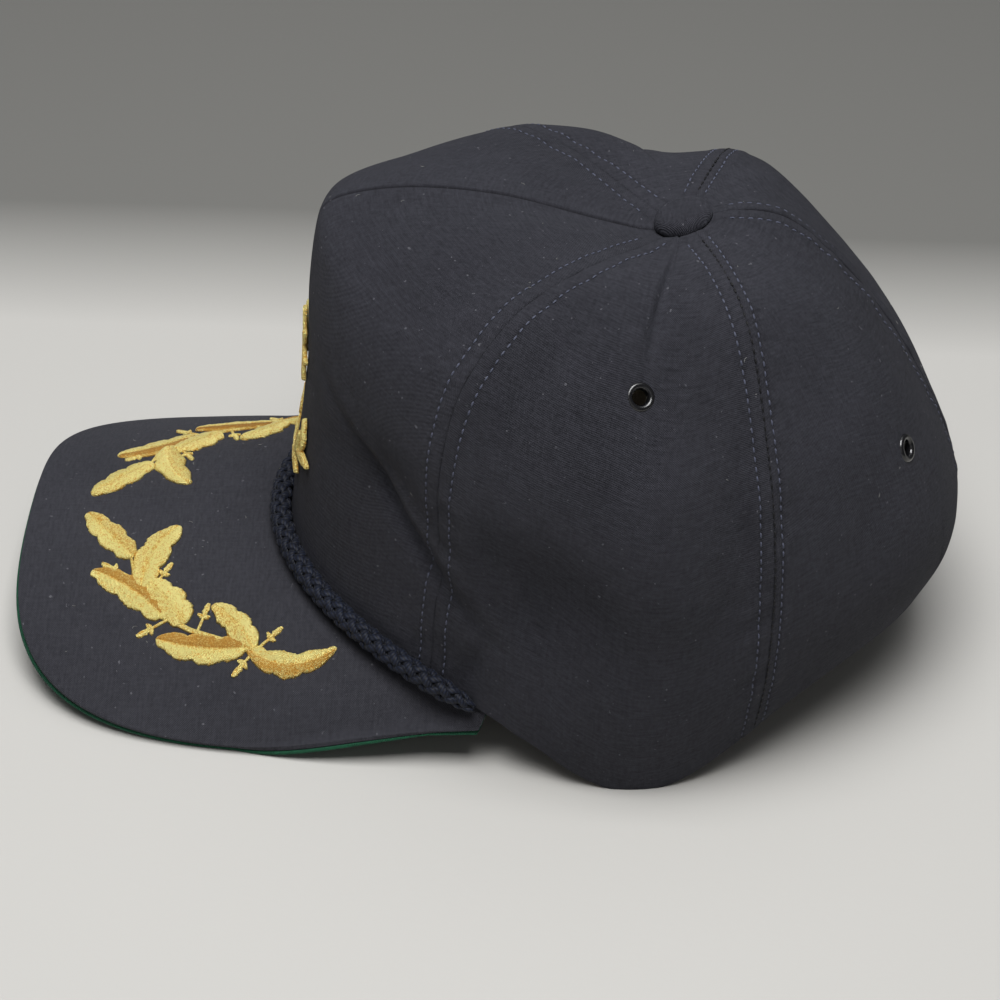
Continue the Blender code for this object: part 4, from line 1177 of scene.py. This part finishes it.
@dataclass
class Visor:
    """The visor's surface, its covered board and its green lining.

    Shares across the visor run from -1 to 1, and past end_share its narrow ends are drawn back to
    the rim.
    """

    crown: Crown
    board: bpy.types.Material
    lining: bpy.types.Material
    half_width: float = 0.0835
    widest: float = -0.047
    squareness: float = 3.9
    end_turn: float = 60.5
    end_share: float = 0.86
    end_setback: float = 0.0094
    end_hold: float = 0.85
    front_fall: float = 0.0045
    side_drop: float = 0.0268
    board_thickness: float = 0.0018
    lining_thickness: float = 0.0015
    gap: float = 0.0003
    root: float = 0.15
    thinning: float = 0.45
    board_bulge: float = 0.0004
    lining_bulge: float = 0.0014
    wave_height: float = 0.00022
    wave_length: float = 0.024
    newton_steps: int = 12

    def surface(self, across: Array, forward: Array) -> Array:
        """Points of the upper surface in the hat's own axes.

        Straight lines run from the rim to an edge whose plan is a quarter superellipse on each
        half. The height falls with the distance ahead and with the square of the distance aside,
        and is drawn to the rim at the root.

        Args:
            across: From -1 at the right end to 1 at the left end.
            forward: From 0 at the crown to 1 at the edge.

        Returns:
            The points.
        """
        crown = self.crown
        across, forward = np.broadcast_arrays(np.asarray(across, float), np.asarray(forward, float))
        rim, rim_normal = crown.surface(across * self.end_turn, np.zeros(across.shape))
        root = rim - rim_normal * crown.cloth
        depth = self.widest - (crown.front - crown.visor_reach)
        angle = across * math.pi / 2.0
        power = 2.0 / self.squareness
        edge_across = self.half_width * np.sign(angle) * np.abs(np.sin(angle))**power
        edge_along = self.widest - depth * np.abs(np.cos(angle))**power
        past_end = self.past_end(across)
        edge_along = edge_along + past_end**2 * self.end_setback
        plan_across = root[..., 0] + (edge_across - root[..., 0]) * forward
        plan_along = root[..., 1] + (edge_along - root[..., 1]) * forward
        fit = root[..., 2] - self.gap - self.arched(root[..., 0], root[..., 1])
        hold = (1.0 - forward)**2
        hold = hold + (1.0 - hold) * self.end_hold * past_end**2
        height = self.arched(plan_across, plan_along) + fit * hold
        return np.stack([plan_across, plan_along, height], axis=-1)

    def past_end(self, across: Array) -> Array:
        """The share of the way into the visor's narrow ends."""
        return np.clip((np.abs(across) - self.end_share) / (1.0 - self.end_share), 0.0, 1.0)

    def arched(self, across: Array, along: Array) -> Array:
        """The height of the arched board over a place in plan."""
        fall = self.front_fall * (self.crown.front - along) / self.crown.visor_reach
        drop = self.side_drop * (across / self.half_width)**2
        return self.crown.height * SECTIONS[0][2][0] - fall - drop

    def normals(self, across: Array, forward: Array) -> Array:
        """Upward normals, upright where the visor is sewn to the crown."""
        step = 0.01
        inner = np.clip(across, -1.0 + step, 1.0 - step)
        outward = np.clip(forward, step, 1.0 - step)
        sideways = self.surface(inner + step, forward) - self.surface(inner - step, forward)
        forwards = self.surface(across, outward + step) - self.surface(across, outward - step)
        normals = unit(np.cross(forwards, sideways))
        normals[..., :2] *= np.clip(forward / self.root, 0.0, 1.0)[..., None]
        return unit(normals)

    def place(self, flat: Array, height: Array) -> Array:
        """Lay flat points on the visor.

        The shares across and forward of a plan place are found by a few steps of Newton's method
        from the plan's own shares.

        Args:
            flat: Metres across and forward from the middle of the crown's front.
            height: Height over the surface.

        Returns:
            The points in the frame.
        """
        plan = np.stack([flat[..., 0], self.crown.front - flat[..., 1]], axis=-1)
        shares = np.stack([flat[..., 0] / self.half_width * 0.72,
                           np.clip(flat[..., 1] / self.crown.visor_reach, 0.05, 0.95)], axis=-1)
        step = 1e-3
        for _ in range(self.newton_steps):
            here = self.surface(shares[..., 0], shares[..., 1])[..., :2]
            by_across = (self.surface(shares[..., 0] + step, shares[..., 1])[..., :2] - here) / step
            by_forward = (self.surface(shares[..., 0], shares[..., 1] + step)[..., :2] - here) / step
            miss = plan - here
            area = by_across[..., 0] * by_forward[..., 1] - by_across[..., 1] * by_forward[..., 0]
            across = (miss[..., 0] * by_forward[..., 1] - miss[..., 1] * by_forward[..., 0]) / area
            forward = (by_across[..., 0] * miss[..., 1] - by_across[..., 1] * miss[..., 0]) / area
            change = np.clip(np.stack([across, forward], axis=-1), -0.2, 0.2)
            shares = np.clip(shares + change, [-0.97, 0.0], [0.97, 1.0])
        points = self.surface(shares[..., 0], shares[..., 1])
        points = points + self.normals(shares[..., 0], shares[..., 1]) * height[..., None]
        return points + np.array([0.0, self.crown.shift, 0.0])

    def layer(self, name: str, node: str, slot: str, finish: bpy.types.Material, top: float,
              thickness: float, bulge: float) -> Object:
        """One layer, as a closed profile carried from one end of the visor to the other.

        The profile runs out along the upper face, round the edge in a half circle and back along
        the under face.

        Args:
            name: The piece's name.
            node: The node that it stands for.
            slot: A slot name, kept on the piece but not used.
            finish: Its material.
            top: Depth of its upper face under the visor's surface.
            thickness: Its thickness.
            bulge: How far its rounded edge stands out.

        Returns:
            The layer's object.
        """
        quarter = np.linspace(0.0, 1.0, 150)
        across = np.concatenate([-quarter[:0:-1], quarter])[:, None]
        out = np.linspace(0.0, 1.0, 60)**0.85
        forward = np.broadcast_to(out[None, :], (len(across), len(out)))
        wide = np.broadcast_to(across, forward.shape)
        face = self.surface(wide, forward)
        normals = self.normals(wide, forward)
        thin = 1.0 - self.thinning * self.past_end(across)
        ends = np.sqrt(np.clip(1.0 - ((np.abs(across) - 0.992) / 0.008).clip(0.0)**2, 0.0, 1.0))
        half = thickness / 2.0 * thin * np.maximum(ends, 0.12)
        wave = ripple(face[..., 0] / self.wave_length, face[..., 1] / self.wave_length, 21.0)
        wave = self.wave_height * wave * forward
        middle = face - normals * (top * thin - wave + thickness / 2.0 * thin)[..., None]
        upper = middle + normals * half[..., None]
        lower = middle - normals * half[..., None]
        outward = unit(middle[:, -1] - middle[:, -3])
        angle = np.linspace(0.0, math.pi, 9)[1:-1]
        edge = (middle[:, -1][:, None] + normals[:, -1][:, None] * (half * np.cos(angle))[..., None]
                + outward[:, None] * (bulge * np.sin(angle))[None, :, None])
        grid = np.concatenate([upper, edge, lower[:, ::-1]], axis=1)
        grid[..., 2] = np.maximum(grid[..., 2], 0.0)
        grid = grid + np.array([0.0, self.crown.shift, 0.0])
        piece = Piece(name, finish, slot, (node,))
        tone = np.zeros(grid.shape[:2])
        # painted shade along the root, where the visor meets the crown
        tone[:, :6] = 0.6 * (1.0 - np.linspace(0.0, 1.0, 6))
        piece.add(grid, grid[..., :2], tone, ring=True)
        ends_at = grid[[0, -1]]
        middle_column = ends_at.shape[1] // 2
        for end in ends_at:
            lips = np.stack([end[:middle_column], end[::-1][:middle_column]], axis=0)
            piece.add(lips, lips[..., :2])
        return piece.build()

    def build(self) -> None:
        """Build the covered board and the lining."""
        self.layer("visor_cloth_cover", "visor", "visor_cloth", self.board, 0.0,
                   self.board_thickness, self.board_bulge)
        self.layer("visor_green_lining", "visor_lining", "green_lining", self.lining,
                   self.board_thickness + self.gap, self.lining_thickness, self.lining_bulge)


@dataclass
class Rope:
    """The braided rope round the foot of the front panel: two sets of strands over and under."""

    crown: Crown
    finish: bpy.types.Material
    diameter: float = 0.0059
    end_turn: float = 59.0
    taper_turn: float = 7.0
    end_share: float = 0.45
    strands: int = 4
    lay: float = 0.0230
    weave: float = 0.15
    strand_reach: float = 0.80
    strand_width: float = 0.43
    strand_height: float = 0.27
    core: float = 0.70
    clearance: float = 0.0003

    def path(self, steps: int) -> tuple[Array, Array, Array]:
        """The rope's middle line.

        Args:
            steps: How many points.

        Returns:
            The points in the frame, the outward normals and the taper.
        """
        turns = np.linspace(-self.end_turn, self.end_turn, 400)
        points, normals = self.crown.surface(turns, np.zeros(400))
        left = np.clip((self.end_turn - np.abs(turns)) / self.taper_turn, 0.0, 1.0)
        taper = self.end_share + (1.0 - self.end_share) * left * (2.0 - left)
        radius = self.diameter / 2.0 * taper
        path = points + normals * (radius + self.clearance)[:, None]
        path[:, 2] += radius + self.clearance
        path[:, 1] += self.crown.shift
        run = run_along(path)
        even = np.linspace(0.0, run[-1], steps)
        line = np.stack([np.interp(even, run, path[:, axis]) for axis in range(3)], axis=-1)
        out = np.stack([np.interp(even, run, normals[:, axis]) for axis in range(3)], axis=-1)
        return line, unit(out), np.interp(even, run, taper)

    def build(self) -> None:
        """Build the strands and the core.

        A strand winds at the angle w s + 2 pi i / n, one set forwards and one set backwards. Its
        distance from the middle swings by cos(n w s), with the opposite sign for the other set,
        so that each strand goes over one and under the next.
        """
        line, out, taper = self.path(520)
        run = run_along(line)
        ahead = unit(np.gradient(line, axis=0))
        aside = unit(np.cross(ahead, out))
        above = np.cross(aside, ahead)
        wind = 2.0 * math.pi / self.lay
        piece = Piece("rope_braid", self.finish, "rope_braid", ("rope",))
        radius = self.diameter / 2.0 * taper
        width = self.strand_width * radius
        thick = self.strand_height * radius
        for way in (1.0, -1.0):
            lift = self.weave * way * np.cos(self.strands * wind * run)
            for strand in range(self.strands):
                angle = way * wind * run + 2.0 * math.pi * strand / self.strands
                around = aside * np.cos(angle)[:, None] + above * np.sin(angle)[:, None]
                reach = radius * (self.strand_reach + lift)
                strand_path = line + around * reach[:, None]
                grid, cloth = tubes(strand_path, around, width, thick, 8)
                # painted shade where the strand dips under the other set
                tone = np.broadcast_to(np.clip(0.30 - 4.0 * lift, 0.0, 0.9)[:, None], grid.shape[:-1])
                piece.add(grid, cloth, tone, ring=True)
                for end in (grid[0], grid[-1]):
                    closed = np.stack([end, np.broadcast_to(end.mean(axis=0), end.shape)])
                    # the strand ends carry painted shade
                    piece.add(closed, None, 0.6, ring=True)
        caps = np.clip(np.minimum(run, run[-1] - run) / 0.001, 0.0, 1.0)**0.5
        core, cloth = tubes(line, out, self.core * radius * caps, self.core * radius * caps, 12)
        # the core between the strands carries painted shade
        piece.add(core, cloth, 0.9, ring=True)
        piece.build()


@dataclass
class Embroidery:
    """Raised gold leaves, stems and acorns, worked out flat and then laid on a surface."""

    finish: bpy.types.Material
    rows: int = 76
    top: int = 21
    cord_rows: int = 40
    ragged_depth: float = 0.00034
    ragged_length: float = 0.0006
    root_depth: float = 0.0002

    def leaf(self, base: Array, tip: Array, width: float, bow: float, lobes: float,
             relief: float, shade: float, seed: float) -> tuple[Array, Array, Array, Array]:
        """A padded leaf.

        Its midrib is a bowed line. The half width is a rounded body times a wave of lobes plus the
        ragged ends of the stitches. The height is a dome that is grooved along the midrib and
        carries shallow side veins.

        Args:
            base: Where it starts.
            tip: Where it ends.
            width: Its width as a share of its length.
            bow: The midrib's bow as a share of its length.
            lobes: How many lobes each half has.
            relief: Its height.
            shade: How much painted shade darkens the half on one side, with the sign of that side.
            seed: A number that changes the raggedness.

        Returns:
            Flat points, heights, maps and tones of painted shade.
        """
        spine = tip - base
        length = float(np.linalg.norm(spine))
        aside = np.array([-spine[1], spine[0]])
        steps = np.linspace(0.0, 1.0, self.rows)
        midrib = base + spine * steps[:, None] + aside * (4.0 * bow * steps * (1.0 - steps))[:, None]
        body = np.sin(math.pi * steps**0.86)**0.42
        waves = [0.78 + 0.26 * np.abs(np.sin(math.pi * (lobes * steps + shift)))**0.7
                 for shift in (0.0, 0.30)]
        upper = np.linspace(-1.0, 1.0, self.top)
        under = np.linspace(1.0, -1.0, 7)[1:-1]
        share = np.concatenate([upper, under])[None, :]
        along_edge = steps[:, None] * length / self.ragged_length
        ragged = self.ragged_depth * ripple(along_edge, np.sign(share) + 0.5, seed)
        wave = np.where(share > 0.0, waves[0][:, None], waves[1][:, None])
        half = 0.5 * width * body[:, None] * wave + ragged / length * eased(body, 0.1, 0.4)[:, None]
        flat = midrib[:, None, :] + aside * (half * share)[..., None]
        across = np.abs(share)
        dome = (1.0 - across**3.2)**0.55
        vein = np.exp(-(across / 0.10)**2)
        ribs = 0.5 + 0.5 * np.cos(2.0 * math.pi * (2.0 * lobes * steps[:, None] - across * 0.9))
        swell = 0.25 + 0.75 * eased(body, 0.0, 0.5)[:, None]
        height = relief * swell * dome * (1.0 - 0.34 * vein - 0.16 * ribs * across)
        height[:, self.top:] = -self.root_depth
        cloth = np.stack([half * share * length, np.broadcast_to(steps[:, None] * length, half.shape)],
                         axis=-1)
        # painted shade on the shaded half, towards the edges and in the midrib's groove
        side = 1.0 if shade >= 0.0 else -1.0
        on_side = eased(share * side, 0.02, 0.12) * (1.0 - eased(across, 0.70, 0.92) * 0.6)
        tone = abs(shade) * on_side + 0.35 * eased(across, 0.82, 1.0) + 0.30 * vein + 0.0 * half
        return flat, height, cloth, tone

    def cord(self, path: Array, width: float, relief: float, ends: float = 0.6
             ) -> tuple[Array, Array, Array, Array]:
        """A padded band along a path, round in section and closed at both ends.

        Args:
            path: The points that it follows.
            width: Its width.
            relief: Its height.
            ends: How far it narrows towards its ends.

        Returns:
            Flat points, heights, maps and tones of painted shade.
        """
        run = run_along(path)
        even = np.linspace(0.0, run[-1], self.cord_rows)
        line = np.stack([np.interp(even, run, path[:, axis]) for axis in range(2)], axis=-1)
        slope = unit(np.gradient(line, axis=0))
        aside = np.stack([-slope[:, 1], slope[:, 0]], axis=-1)
        steps = np.linspace(0.0, 1.0, self.cord_rows)
        round_end = np.sqrt(np.clip(1.0 - np.abs(2.0 * steps - 1.0)**8, 0.0, 1.0))
        body = round_end * (1.0 - ends * 0.3 * np.abs(2.0 * steps - 1.0))
        share = np.concatenate([np.linspace(-1.0, 1.0, 9), np.linspace(1.0, -1.0, 5)[1:-1]])[None, :]
        flat = line[:, None, :] + aside[:, None, :] * (body[:, None] * share * width / 2.0)[..., None]
        height = relief * (1.0 - np.abs(share)**2.4)**0.5 * (0.3 + 0.7 * body[:, None])
        height[:, 9:] = -self.root_depth
        cloth = np.stack(np.broadcast_arrays(share * width / 2.0, even[:, None]), axis=-1)
        # painted shade towards the band's rounded edges, over an even darker tone
        tone = 0.20 + 0.3 * eased(np.abs(share), 0.7, 1.0) + 0.0 * height
        return flat, height, cloth, tone

    def acorn(self, centre: Array, foot: Array, relief: float, length: float, width: float
              ) -> list[tuple[Array, Array, Array, Array]]:
        """A nut with a crossed cap on a stalk.

        Args:
            centre: The nut's middle.
            foot: Where the stalk joins the branch.
            relief: The nut's height.
            length: The nut's length.
            width: The nut's width.

        Returns:
            The padded bands that it is made of.
        """
        ahead = unit(centre - foot)
        aside = np.array([-ahead[1], ahead[0]])
        root = centre - ahead * 0.30 * length
        # the shade values put painted shade on one half of each band
        parts = [self.leaf(root, centre + ahead * 0.55 * length, 0.50, 0.0, 0.0, relief, 0.2, 1.0)]
        for side in (-1.0, 1.0):
            tip = root + (ahead * 0.25 + aside * 0.85 * side) * 0.42 * length
            start = root - aside * 0.0004 * side
            parts.append(self.leaf(start, tip, 0.62, 0.0, 0.0, relief, 0.3, side + 4.0))
        cup = np.stack([root - aside * 0.28 * width, root + aside * 0.28 * width])
        parts.append(self.cord(cup, 0.34 * width, 1.1 * relief))
        parts.append(self.cord(np.stack([foot, root]), 0.0011, 0.8 * relief))
        return parts


@dataclass
class OakBranch:
    """The gold oak branch on one half of the visor."""

    visor: Visor
    work: Embroidery
    side: Side
    acorn_length: float = 0.0058
    acorn_width: float = 0.0046
    stem_width: float = 0.0019

    def build(self) -> Object:
        """Lay the stem, the leaves and the acorns on the visor as one piece."""
        sign = self.side.value
        size = np.array([self.visor.half_width * sign, self.visor.crown.visor_reach])
        name = "oak_branch_" + self.side.word
        piece = Piece(name + "_thread", self.work.finish, "gold_thread", (name,))
        parts = [self.work.cord(np.array(STEM) * size, self.stem_width, 0.0008)]
        for number, row in enumerate(LEAVES):
            base, tip = np.array(row[0:2]) * size, np.array(row[2:4]) * size
            # painted shade on one half of the leaf
            shade = row[7] if self.side is Side.LEFT else -row[8]
            parts.append(self.work.leaf(base, tip, row[4], row[5] * sign, 3.0, row[6] + 0.0003,
                                        shade, number + 10.0 * sign))
        for across, forward, foot_across, foot_forward, relief in ACORNS:
            centre = np.array([across, forward]) * size
            foot = np.array([foot_across, foot_forward]) * size
            parts.extend(self.work.acorn(centre, foot, relief, self.acorn_length, self.acorn_width))
        for flat, height, cloth, tone in parts:
            piece.add(self.visor.place(flat, height), cloth, tone, ring=True)
        return piece.build()


@dataclass
class Emblem:
    """A plain star over two open sprigs on the front panel."""

    crown: Crown
    work: Embroidery
    star_radius: float = 0.0125
    star_points: int = 8
    star_centre: float = 0.063
    sprig_radius: float = 0.0215
    sprig_centre: float = 0.0480
    leaves: int = 4
    leaf_length: float = 0.0105
    relief: float = 0.0013
    stem_width: float = 0.0022

    def place(self, flat: Array, height: Array) -> Array:
        """Lay flat points on the front: up is the length from the rim, across is an arc."""
        levels, run = self.crown.climb(0.0)
        level = np.interp(flat[..., 1], run, levels)
        ahead = self.crown.half_length * (spline_rows(LEVELS, level, False) @ self.crown.radii[0])
        narrowing = self.crown.half_width / self.crown.half_length
        turn = np.degrees(flat[..., 0] / (ahead.reshape(level.shape) * narrowing))
        points, normals = self.crown.surface(turn, level)
        return points + normals * height[..., None] + np.array([0.0, self.crown.shift, 0.0])

    def build(self) -> None:
        """Build the star of padded rays, and the sprigs."""
        star = Piece("emblem_star_thread", self.work.finish, "gold_thread", ("emblem_star",))
        centre = np.array([0.0, self.star_centre])
        for ray in range(self.star_points):
            angle = math.pi / 2.0 + ray * 2.0 * math.pi / self.star_points
            tip = centre + self.star_radius * np.array([math.cos(angle), math.sin(angle)])
            # painted shade on one half of each ray
            ray_leaf = self.work.leaf(centre, tip, 0.40, 0.0, 0.0, self.relief, 0.3, ray + 3.0)
            flat, height, cloth, tone = ray_leaf
            star.add(self.place(flat, height + 0.0004), cloth, tone, ring=True)
        star.build()
        sprigs = Piece("emblem_sprigs_thread", self.work.finish, "gold_thread", ("emblem_sprigs",))
        angles = np.radians(np.linspace(-150.0, -30.0, 30))
        middle = np.array([0.0, self.sprig_centre])
        arc = middle + self.sprig_radius * np.stack([np.cos(angles), np.sin(angles)], axis=-1)
        parts = [self.work.cord(arc, self.stem_width, 0.8 * self.relief)]
        for side in (-1.0, 1.0):
            for number in range(self.leaves):
                angle = math.radians(-78.0 + 13.5 * number)
                reach = np.array([side * math.cos(angle), math.sin(angle)])
                root = middle + self.sprig_radius * reach
                splay = angle + math.pi / 2.0 + (0.75 if number % 2 else -0.55)
                tip = root + self.leaf_length * np.array([side * math.cos(splay), math.sin(splay)])
                # painted shade on one half of each sprig leaf
                parts.append(self.work.leaf(root, tip, 0.42, 0.0, 1.0, self.relief, 0.3 * side,
                                            number + 5.0))
        for flat, height, cloth, tone in parts:
            sprigs.add(self.place(flat, height + 0.0002), cloth, tone, ring=True)
        sprigs.build()


@dataclass
class Sweatband:
    """The beige band inside the rim, with rounded edges."""

    crown: Crown
    finish: bpy.types.Material
    top: float = 0.165
    thickness: float = 0.0010
    depth: float = 0.0024
    drop: float = 0.0011
    rounding: float = 0.0006
    softness: float = 0.00018
    floor_gap: float = 0.0002
    end_turn: float = 143.0

    def build(self) -> None:
        """Build the band as a shell with rounded edges."""
        share = np.concatenate([np.linspace(0.0, 0.06, 6), np.linspace(0.08, 0.94, 22),
                                np.linspace(0.955, 1.0, 5)])[:, None]
        turns = np.linspace(-self.end_turn, self.end_turn, 420)[None, :]
        levels = share * self.top + 0.0 * turns
        turns = turns + 0.0 * share
        points, normals = self.crown.surface(turns, levels)
        points[..., 2] -= self.drop * (1.0 - share)
        points[..., 1] += self.crown.shift
        from_edge = np.minimum(np.minimum(share, 1.0 - share) * self.top * 0.17,
                               0.09 * np.radians(self.end_turn - np.abs(turns)))
        inside = np.clip(from_edge / self.rounding, 0.0, 1.0)
        swell = self.thickness / 2.0 * np.sqrt(1.0 - (1.0 - inside)**2)
        soft = self.softness * ripple(turns / 9.0, share * 3.0, 31.0)
        middle = points - normals * (self.depth + self.thickness / 2.0 - soft)[..., None]
        outer = middle + normals * swell[..., None]
        inner = middle - normals * swell[..., None]
        outer[..., 2] = np.maximum(outer[..., 2], self.floor_gap)
        inner[..., 2] = np.maximum(inner[..., 2], self.floor_gap)
        cloth = np.stack([0.09 * np.radians(turns), levels * 0.17], axis=-1)
        piece = Piece("sweatband_cloth", self.finish, "sweatband_cloth", ("sweatband",))
        piece.shell(outer, inner, cloth, np.zeros(turns.shape))
        piece.build()


@dataclass
class Lint:
    """Short pale fibres that lie on the cloth."""

    crown: Crown
    visor: Visor
    finish: bpy.types.Material
    count: int = 34
    on_visor: int = 16
    lift: float = 0.0002
    fibre: float = 0.00006
    seed: int = 7

    def build(self) -> None:
        """Scatter curled fibres on the crown and the visor from a fixed seed."""
        draw = np.random.default_rng(self.seed)
        turns, levels = draw.uniform(-178.0, 178.0, self.count), draw.uniform(0.28, 0.92, self.count)
        points, normals, _ = self.crown.skin(turns, levels)
        across = draw.uniform(-0.06, 0.06, self.on_visor)
        forward = draw.uniform(0.012, 0.070, self.on_visor)
        flat = np.stack([across, forward], axis=-1)
        laid = self.visor.place(flat, np.full(self.on_visor, self.lift))
        points = np.concatenate([points + normals * self.lift, laid])
        normals = np.concatenate([normals, np.tile([0.0, 0.0, 1.0], (self.on_visor, 1))])
        number = len(points)
        aside = unit(np.cross(normals, draw.normal(size=(number, 3))))
        ahead = np.cross(normals, aside)
        reach = draw.uniform(0.0002, 0.0009, number)[:, None, None]
        steps = np.linspace(-1.0, 1.0, 5)[None, :, None]
        curl = draw.uniform(-0.7, 0.7, number)[:, None, None]
        curve = steps * aside[:, None, :] + curl * steps**2 * ahead[:, None, :]
        path = points[:, None, :] + reach * curve
        width = self.fibre * np.sqrt(1.0 - np.linspace(-1.0, 1.0, 5)**2 * 0.999)
        upright = np.broadcast_to(normals[:, None, :], path.shape)
        grid, cloth = tubes(path, upright, width, width, 4)
        piece = Piece("lint_fibres", self.finish, "crown_cloth")
        piece.add(grid, cloth, ring=True)
        piece.build()


@dataclass
class Studio:
    """The camera at the photograph's angle, the floor and the soft lights."""

    crown: Crown
    azimuth: float = 89.598
    elevation: float = 38.123
    roll: float = 2.552
    distance: float = 0.79570
    target: tuple[float, float, float] = (0.010656, -0.033793, 0.042945)
    focal_pixels: float = 2590.5
    frame_pixels: float = 1000.0
    sensor: float = 36.0
    floor_reach: float = 6.0
    surroundings: float = 0.08

    def camera(self) -> None:
        """Stand the camera off its target along the viewing direction."""
        turn, rise, roll = (math.radians(angle) for angle in (self.azimuth, self.elevation, self.roll))
        back = np.array([math.sin(turn) * math.cos(rise), -math.cos(turn) * math.cos(rise),
                         math.sin(rise)])
        level = np.array([math.cos(turn), math.sin(turn), 0.0])
        upward = np.cross(back, level)
        right = level * math.cos(roll) + upward * math.sin(roll)
        upward = upward * math.cos(roll) - level * math.sin(roll)
        target = np.array(self.target) + np.array([0.0, self.crown.shift, 0.0])
        place = np.eye(4)
        place[:3, :3] = np.stack([right, upward, back], axis=1)
        place[:3, 3] = target + back * self.distance
        lens = bpy.data.cameras.new("camera")
        lens.sensor_width = self.sensor
        lens.lens = self.focal_pixels * lens.sensor_width / self.frame_pixels
        camera = bpy.data.objects.new("camera", lens)
        bpy.context.scene.collection.objects.link(camera)
        camera.matrix_world = Matrix(place.tolist())
        bpy.context.scene.camera = camera

    def lamp(self, name: str, place: tuple[float, float, float], size: float, power: float,
             colour: tuple[float, float, float] = (1.0, 1.0, 1.0)) -> None:
        """A square soft light that faces the hat.

        Args:
            name: Its name.
            place: Where it stands.
            size: The length of its side.
            power: Its power in watts.
            colour: Its colour.
        """
        light = bpy.data.lights.new(name, "AREA")
        light.shape = "SQUARE"
        light.size = size
        light.energy = power
        light.color = colour
        lamp = bpy.data.objects.new(name, light)
        bpy.context.scene.collection.objects.link(lamp)
        back = unit(np.array(place) - np.array([0.0, 0.0, 0.06]))
        right = unit(np.cross(np.array([0.0, 1.0, 0.02]), back))
        stand = np.eye(4)
        stand[:3, :3] = np.stack([right, np.cross(back, right), back], axis=1)
        stand[:3, 3] = place
        lamp.matrix_world = Matrix(stand.tolist())

    def floor(self) -> None:
        """A wide flat floor, which is no part of the hat."""
        mesh = bpy.data.meshes.new("floor")
        wide = self.floor_reach
        corners = [(-wide, -wide, 0.0), (wide, -wide, 0.0), (wide, wide, 0.0), (-wide, wide, 0.0)]
        mesh.from_pydata(corners, [], [(0, 1, 2, 3)])
        mesh.materials.append(Ground().material())
        floor = bpy.data.objects.new("floor", mesh)
        bpy.context.scene.collection.objects.link(floor)

    def build(self) -> None:
        """Set the camera, the floor, the lights and the soft surroundings."""
        self.camera()
        self.floor()
        self.lamp("key_light", (0.24, -0.08, 1.38), 0.9, 24.0)
        self.lamp("top_light", (-0.30, 0.10, 1.30), 1.1, 2.5, (0.95, 0.97, 1.0))
        self.lamp("fill_light", (1.30, 0.10, 0.70), 1.0, 1.0)
        world = bpy.data.worlds.new("soft_surroundings")
        world.use_nodes = True
        ground = world.node_tree.nodes["Background"]
        ground.inputs["Color"].default_value = (0.95, 0.97, 1.0, 1.0)
        ground.inputs["Strength"].default_value = self.surroundings
        bpy.context.scene.world = world
        bpy.context.scene.view_settings.view_transform = "Standard"


def main() -> None:
    """Build the hat's pieces in order, then set the stage."""
    logging.basicConfig(level=logging.INFO, format="%(name)s: %(message)s")
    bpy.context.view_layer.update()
    twill = Cloth("navy_twill", (0.044, 0.044, 0.056), (0.013, 0.013, 0.018)).material()
    cover = Cloth("visor_cover", (0.046, 0.046, 0.056), (0.021, 0.021, 0.027), depth=0.00030).material()
    green = Cloth("green_twill", (0.012, 0.110, 0.052), (0.007, 0.060, 0.029), flecks=0.1).material()
    beige = Cloth("beige_cotton", (0.42, 0.35, 0.26), (0.30, 0.25, 0.18), flecks=0.2).material()
    tape = Cloth("seam_tape", (0.022, 0.022, 0.026), (0.014, 0.014, 0.017), flecks=0.3).material()
    braid = Yarn("navy_braid", (0.008, 0.013, 0.032), (0.002, 0.003, 0.008)).material()
    thread = Yarn("navy_thread", (0.100, 0.108, 0.155), (0.045, 0.050, 0.075), depth=0.00005).material()
    # painted shade: a near-black thread that stands for the shade in the needle holes
    shadow = Yarn("needle_hole_shade", (0.006, 0.006, 0.008), (0.003, 0.003, 0.004), depth=0.00004).material()
    fluff = Yarn("pale_fibre", (0.42, 0.42, 0.40), (0.25, 0.25, 0.24), depth=0.00002).material()
    lacquer = Smooth("black_lacquer", (0.007, 0.007, 0.008), 0.22, 0.0, 0.5).material()
    plastic = Smooth("black_plastic", (0.016, 0.017, 0.020), 0.42, depth=0.00004).material()
    gold = GoldThread().material()

    crown = Crown()
    CrownPanels(crown, twill).build()
    Stitching(crown, thread, shadow).build()
    SeamTapes(crown, tape).build()
    TopButton(crown, twill).build()
    EyeletRings(crown, lacquer).build()
    visor = Visor(crown, cover, green)
    visor.build()
    Rope(crown, braid).build()
    work = Embroidery(gold)
    for side in Side:
        OakBranch(visor, work, side).build()
    Emblem(crown, work).build()
    Sweatband(crown, beige).build()
    Lint(crown, visor, fluff).build()
    for node in ("snap_strap_left", "snap_strap_right"):
        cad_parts[node].material_slots[0].material = plastic
    Studio(crown).build()


if __name__ == "__main__":
    main()
